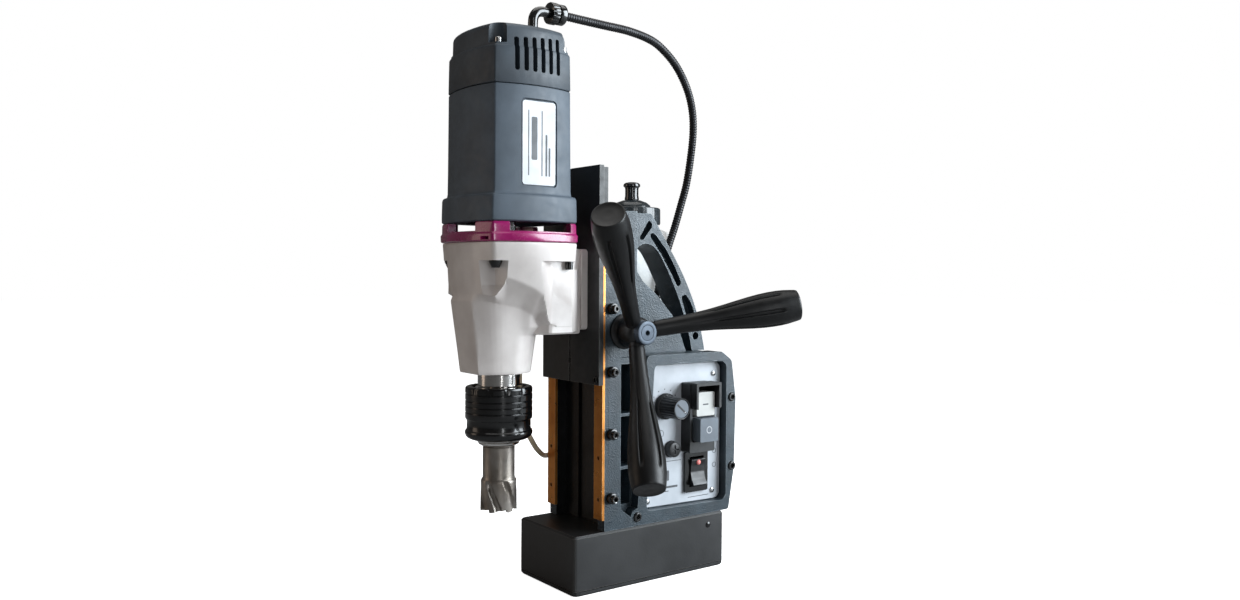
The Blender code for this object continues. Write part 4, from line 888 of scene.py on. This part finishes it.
def groove(angle, along):
    """Six long, narrow grooves that fade out at both ends of the thick part of a grip."""
    fade = eased((along - 43) / 12) * eased((107 - along) / 4)
    turn = abs((angle * 6 / (2 * math.pi)) % 1.0 - 0.5)
    return 1.8 * fade * eased((0.12 - turn) / 0.05)


bosses = []
for k in range(3):
    a = math.radians(SPOKE_PHASE - 120 * k)
    out = Vector((math.sin(tilt), math.cos(tilt) * math.cos(a), math.cos(tilt) * math.sin(a)))
    side = out.cross(Vector((1, 0, 0))).normalized()
    aim = Matrix((side, out.cross(side), out)).transposed()
    spot = Vector((SPOKE_X, FEED_Y, FEED_Z))
    boss_profile = [(0, 4.0), (6.2, 4.0), (6.2, 15.0), (5.8, 16.3), (3.2, 16.3), (0, 16.3)]
    bosses.append(lathe(f"boss_{k}", boss_profile, spot, aim, 40))
    shape = [(r, s + 16.6) for s, r in grip_shape]
    fine = []
    for (r0, h0), (r1, h1) in zip(shape, shape[1:]):
        parts = 3 if 55 < h0 < 132 else 1
        fine += [(r0 + (r1 - r0) * n / parts, h0 + (h1 - h0) * n / parts) for n in range(parts)]
    fine += [shape[-1], (0, shape[-1][1] - 0.3)]
    grip = lathe(
        f"arm_grip_{k + 1}", [(0, 16.6), (5.9, 16.6)] + fine, spot, aim, 168,
        dip=lambda a, h: groove(a, h - 16.6)
    )
    piece(grip, grip_black, "black_plastic", "feed", f"feed_grip_{k + 1}", bevel=0, angle=50)
weld(hub, *bosses)
carve(hub, prism("hub_bore", circle(FEED_Y, FEED_Z, 7.4), "X", 30, 63.4))
piece(hub, knob_black, "black_plastic", "feed", "feed_hub", bevel=0.4, angle=35)
face = lathe("hub_face", [
    (0, 68.5), (1.7, 68.5), (1.8, 71.6), (2.3, 72.1), (6.0, 71.9), (6.3, 71.6), (6.6, 71.9), (8.7, 72.1),
    (9.4, 71.8), (9.7, 71.1), (9.7, 66.1), (0, 66.1),
], FEED, "X", steps=72)
piece(face, disc_alloy, "cast_aluminium", "feed", "hub_end_disc", bevel=0.12)


# ---------------------------------------------------------------- screws and small fittings
def hexagon(a, b, across):
    return [
        (a + across * math.cos(math.pi * k / 3), b + across * math.sin(math.pi * k / 3))
        for k in range(6)
    ]


def crossed(obj, spot, face, size, depth=1.0):
    """Cuts a cross-head recess into a face that looks along +X."""
    (y, z), half = spot, size * 0.16
    tools = [
        box("cross_a", (face - depth, y - size, z - half), (face + 2, y + size, z + half)),
        box("cross_b", (face - depth, y - half, z - size), (face + 2, y + half, z + size)),
    ]
    return carve(obj, *tools)


for i, z in enumerate((230.5, 178.8, 127.8, 75.2)):
    bolt = lathe(f"gib_bolt_{i + 1}", [
        (0, 48.6), (2.5, 48.6), (2.9, 48.2), (3.0, 46.0), (3.2, 45.4), (4.3, 45.2), (4.6, 44.6), (4.6, 41.3),
        (2.1, 41.2), (2.1, 31.6), (0, 31.6),
    ], (0, GIB_SCREW_Y, z), "X", 48)
    carve(bolt, prism("socket", hexagon(GIB_SCREW_Y, z, 1.75), "X", 46.6, 50))
    piece(bolt, chuck_black, "bright_steel", "stand", f"gib_screw_{i + 1}", bevel=0.15)
    ring = lathe(
        f"bolt_tip_{i + 1}", [(2.3, 48.55), (2.6, 48.75), (2.95, 48.3), (2.7, 48.1)], (0, GIB_SCREW_Y, z),
        "X", 48, True,
    )
    piece(ring, bright, "bright_steel", "stand", bevel=0)
for i, spot in enumerate(((-16.2, 55.6), (90.0, 149.1), (90.4, 87.1))):
    bolt = lathe(f"cover_bolt_{i + 1}", [
        (0, 42.6), (3.3, 42.6), (3.8, 42.2), (4.0, 41.6), (4.0, 37.9), (2.1, 37.9), (2.1, 14.0), (0, 14.0),
    ], (0, *spot), "X", 48)
    carve(bolt, prism("socket", hexagon(*spot, 2.3), "X", 40.2, 50))
    piece(bolt, gloss_black, "black_plastic", "stand", f"cover_screw_{i + 1}", bevel=0.15)
for i, spot in enumerate(((74.6, 170.5), (3.3, 170.1), (74.0, 65.9), (0.2, 64.6))):
    screw_profile = [(0, 34.5), (1.4, 34.4), (2.3, 33.9), (2.6, 33.2), (2.6, 33.0), (0, 33.0)]
    bolt = lathe(f"panel_screw_{i + 1}", screw_profile, (0, *spot), "X", 40)
    piece(crossed(bolt, spot, 34.5, 1.5, 0.8), bright, None, "stand", bevel=0.08)
rivet = lathe(
    "base_rivet", [(0, 43.1), (1.6, 43.0), (2.5, 42.5), (2.7, 42.0), (0, 42.0)], (0, 62.0, 38.0), "X", 40,
)
piece(rivet, chuck_black, None, "stand", bevel=0)
slide_screw = lathe(
    "slide_screw", [(0, -55.4), (3.0, -55.4), (3.0, -58.1), (2.6, -58.5), (0, -58.5)], (38.0, 0, 172.6),
    "Y", 48,
)
carve(slide_screw, prism("socket", hexagon(38.0, 172.6, 1.6), "Y", -60, -56.8))
piece(slide_screw, chuck_black, None, "head", bevel=0.12)

# ---------------------------------------------------------------- control panel
KNOB, FUSE, LAMP = (18.9, 145.1), (25.6, 107.5), (56.4, 93.7)
FACE = PANEL_X + 0.3


def ribbed(angle, height):
    """Fine grip flutes around the knob."""
    if not FACE + 4.2 < height < FACE + 22.4:
        return 0.0
    return 0.65 * (0.5 + 0.5 * math.cos(angle * 20)) ** 3


dial = lathe("speed_dial", [
    (0, FACE + 22.2), (7.9, FACE + 22.2), (8.0, FACE + 23.2), (8.6, FACE + 23.4), (9.0, FACE + 22.8),
    (9.15, FACE + 22.3), (9.2, FACE + 18), (9.35, FACE + 12), (9.45, FACE + 6.0), (9.6, FACE + 4.3),
    (10.4, FACE + 3.6),
    (11.2, FACE + 2.8), (11.4, FACE + 0.8), (11.0, FACE + 0.3), (3.0, FACE + 0.3), (3.0, FACE - 10),
    (0, FACE - 10),
], (0, *KNOB), "X", 160, dip=ribbed)
piece(dial, knob_black, "black_plastic", "knob", "speed_knob", bevel=0.12, angle=40)
cap = lathe("dial_cap", [
    (0, FACE + 22.9), (7.3, FACE + 22.9), (7.7, FACE + 22.6), (7.7, FACE + 21.8), (0, FACE + 21.8),
], (0, *KNOB), "X", 64)
piece(cap, grey_key, None, "knob", bevel=0.1)
slant = math.radians(-40)
slot = [
    (KNOB[0] + u * math.cos(slant) - v * math.sin(slant), KNOB[1] + u * math.sin(slant) + v * math.cos(slant))
    for u, v in rectangle(-6.4, -0.75, 6.4, 0.75, 0.5, 3)
]
pointer = prism("dial_pointer", slot, "X", FACE + 22.5, FACE + 23.1)
piece(pointer, ink_black, None, "knob", bevel=0)
dot_outline = circle(KNOB[0] + 4.6 * math.cos(slant), KNOB[1] + 4.6 * math.sin(slant), 0.55, 16)
tip_dot = prism("dial_dot", dot_outline, "X", FACE + 22.5, FACE + 23.2)
piece(tip_dot, label_white, None, "knob", bevel=0)
fuse = lathe("fuse_head", [
    (0, FACE + 6.6), (5.4, FACE + 6.6), (6.3, FACE + 6.2), (6.7, FACE + 5.4), (6.9, FACE + 1.6),
    (7.3, FACE + 1.2),
    (7.3, FACE + 0.1), (5.2, FACE + 0.1), (5.2, FACE - 16), (0, FACE - 16),
], (0, *FUSE), "X", 64, dip=lambda a, h: 0.25 * (0.5 + 0.5 * math.cos(a * 24)) if 1.8 < h - FACE < 6 else 0)
piece(crossed(fuse, FUSE, FACE + 6.6, 3.8, 1.6), knob_black, "black_plastic", "stand", "fuse_cap", bevel=0.15)

marks = []
for k in range(11):
    a = math.radians(225 - 27 * k)
    spot = (KNOB[0] - 14.6 * math.cos(math.pi - a), KNOB[1] + 14.6 * math.sin(a))
    marks.append((f"scale_dot_{k + 1}", circle(*spot, 0.45 + 0.03 * k, 16)))
ring_marks = [((76.6, 101.0), 2.3), ((76.6, 88.4), 2.3), ((15.0, 121.5), 3.4)]
marks += [
    ("panel_line_1", rectangle(2, 96.6, 38, 97.1)), ("panel_line_2", rectangle(2, 73.6, 34, 75.4, 0.5, 2)),
]
marks += [("panel_line_3", rectangle(2, 70.6, 24, 71.3)), ("panel_line_4", rectangle(46, 62.2, 70, 62.8))]
marks += [
    ("panel_bar_1", rectangle(4.6, 80.0, 13.4, 89.0, 1.0, 3)),
    ("panel_bar_2", rectangle(15.6, 80.0, 24.4, 89.0, 1.0, 3)),
]
for name, outline in marks:
    piece(prism(name, outline, "X", PANEL_X - 0.05, PANEL_X + 0.12), ink, None, "stand", bevel=0)
for i, ((y, z), r) in enumerate(ring_marks):
    sign = lathe(f"panel_ring_{i + 1}", [(r, PANEL_X + 0.12), (r, PANEL_X - 0.05), (r - 0.5, PANEL_X - 0.05),
                 (r - 0.5, PANEL_X + 0.12)], (0, y, z), "X", 8 if i == 2 else 40, True)
    piece(sign, ink, None, "stand", bevel=0)
dash = prism("start_mark", rectangle(49.6, 145.3, 55.8, 146.5, 0.3, 2), "X", FACE + 14.9, FACE + 15.12)
piece(dash, ink, None, "start", bevel=0)
loop_mark = lathe("stop_mark", [
    (3.1, FACE + 20.12), (3.1, FACE + 19.9), (2.4, FACE + 19.9), (2.4, FACE + 20.12),
], (0, 52.6, 124.2), "X", 48, True)
piece(loop_mark, label_white, None, "stop", bevel=0)
lamp_profile = [(0, 39.9), (1.3, 39.7), (2.2, 38.9), (2.4, 36.0), (0, 36.0)]
lamp = lathe("rocker_lamp", lamp_profile, (0, 53.5, LAMP[1]), "X", 32)
piece(lamp, red_lamp, None, "rocker", bevel=0)

# ---------------------------------------------------------------- conduit elbow and coolant fittings
elbow_way = smooth_path([
    (0, -94.9, 441.0), (0, -94.9, 452.0), (0, -94.9, 462.0), (0, -94.2, 467.6), (0, -91.4, 471.6),
    (0, -87.2, 473.2), (0, -82.0, 473.2), (0, -76.0, 473.2),
], 5)
elbow = hose("elbow_fitting", elbow_way, lambda i: 4.1, 32)
nut = lathe("elbow_nut", [
    (0, -80.2), (5.6, -80.2), (8.6, -79.6), (9.0, -79.0), (9.0, -73.8), (8.7, -73.2), (7.2, -72.9), (7.2, -71.9),
    (8.2, -71.6), (8.4, -71.0), (8.4, -66.4), (8.0, -65.8), (5.4, -65.0), (0, -65.0),
], (0, 0, 473.2), "Y", 96,
    dip=lambda a, h: 0.55 * (0.5 + 0.5 * math.cos(a * 16)) ** 2 if -79.3 < h < -73.5 else 0)
foot = lathe(
    "elbow_foot", [(0, 453.0), (6.0, 453.0), (6.6, 452.4), (6.6, 451.9), (4.1, 451.6), (0, 451.6)],
    (0, -94.9, 0), steps=48,
)
weld(elbow, nut)
piece(elbow, gloss_black, "black_plastic", "head", "conduit_elbow", bevel=0.15, angle=40)
piece(foot, gloss_black, None, "head", bevel=0.15)
entry = lathe("conduit_gland", [
    (5.2, 201.5), (8.0, 201.5), (8.4, 201.0), (8.4, 190.4), (5.2, 190.4),
], (-24.8, 52, 0), steps=6, loop=True)
piece(entry, chuck_black, None, "stand", bevel=0.3)

TANK = (-51.5, 46.5, 0)
lid = lathe("cap_body", [
    (4.3, 328.0), (8.6, 328.0), (9.6, 327.6), (14.0, 326.0), (17.2, 323.4), (18.0, 321.4), (19.0, 320.9),
    (25.4, 320.8), (26.6, 320.2), (27.0, 319.0), (27.1, 306.6), (26.5, 305.2), (23.0, 304.6), (20.0, 304.4),
    (20.0, 310.5), (4.3, 310.5),
], TANK, steps=144, loop=True, dip=lambda a, h: 0.2 * (0.5 + 0.5 * math.cos(a * 36)) if 306 < h < 320 else 0)
piece(lid, lid_grey, "black_plastic", "stand", "tank_cap", bevel=0.15, angle=35)
button = lathe("cap_button", [
    (0, 345.2), (3.6, 345.1), (6.0, 344.6), (7.5, 343.6), (8.0, 342.3), (7.8, 341.0), (6.6, 340.2),
    (6.3, 338.6), (6.3, 332.4), (6.7, 330.2), (6.8, 328.7), (4.0, 328.6), (4.0, 305.6), (0, 305.0),
], TANK, steps=72)
piece(button, gloss_black, "black_plastic", "plunger", "cap_plunger", bevel=0.15, angle=35)
tap = lathe("tap_body", [
    (0, 214.0), (1.9, 213.6), (1.9, 204.7), (5.0, 204.7), (5.2, 204.0), (5.2, 196.6), (4.6, 196.0),
    (3.0, 195.4), (2.6, 194.6), (2.6, 191.8), (2.9, 191.4), (2.6, 191.0), (2.6, 188.6), (2.9, 188.2),
    (2.5, 187.6), (0, 187.0),
], (-60, 20, 0), steps=48)
piece(tap, brass, "gib_brass", "stand", "outlet_tap", bevel=0.12)

# ---------------------------------------------------------------- CAD nodes that keep their own shape
dress("pole_plate", satin, 0.4)
dress("magnet_base", base_paint, 0.7)
dress("magnet_coil", copper)
dress("column_casting", column_paint, 0.7)
dress("carry_handle", column_paint, 0.8)
dress("control_housing", column_paint, 0.8)
dress("control_panel", panel_white, 0.2)
dress("circuit_board", board_green)
dress("slide_block", slide_black, 0.5)
dress("feed_rack", bright, 0.1)
dress("feed_pinion_shaft", bright, 0.1)
for side in ("left", "right"):
    dress(f"brass_gib_{side}", brass, 0.4)
    dress(f"brush_{side}", brass, 0.2)
dress("switch_base", satin, 0.45)
dress("start_button", white_key, 0.6)
dress("stop_button", grey_key, 0.6)
dress("rocker_frame", gloss_black, 0.5)
dress("magnet_rocker", knob_black, 0.4)
dress("coolant_tank", clear, 0.8, 20)
dress("gear_plate", alloy, 0.3)
for name in ("armature_shaft", "lay_wheel", "lay_shaft", "spindle_gear", "spindle_bearing", "ejector_pin"):
    dress(name, bright, 0.1)
dress("stator", copper)
dress("armature_core", laminated)
dress("commutator", copper_bar)
dress("cooling_fan", white_key)
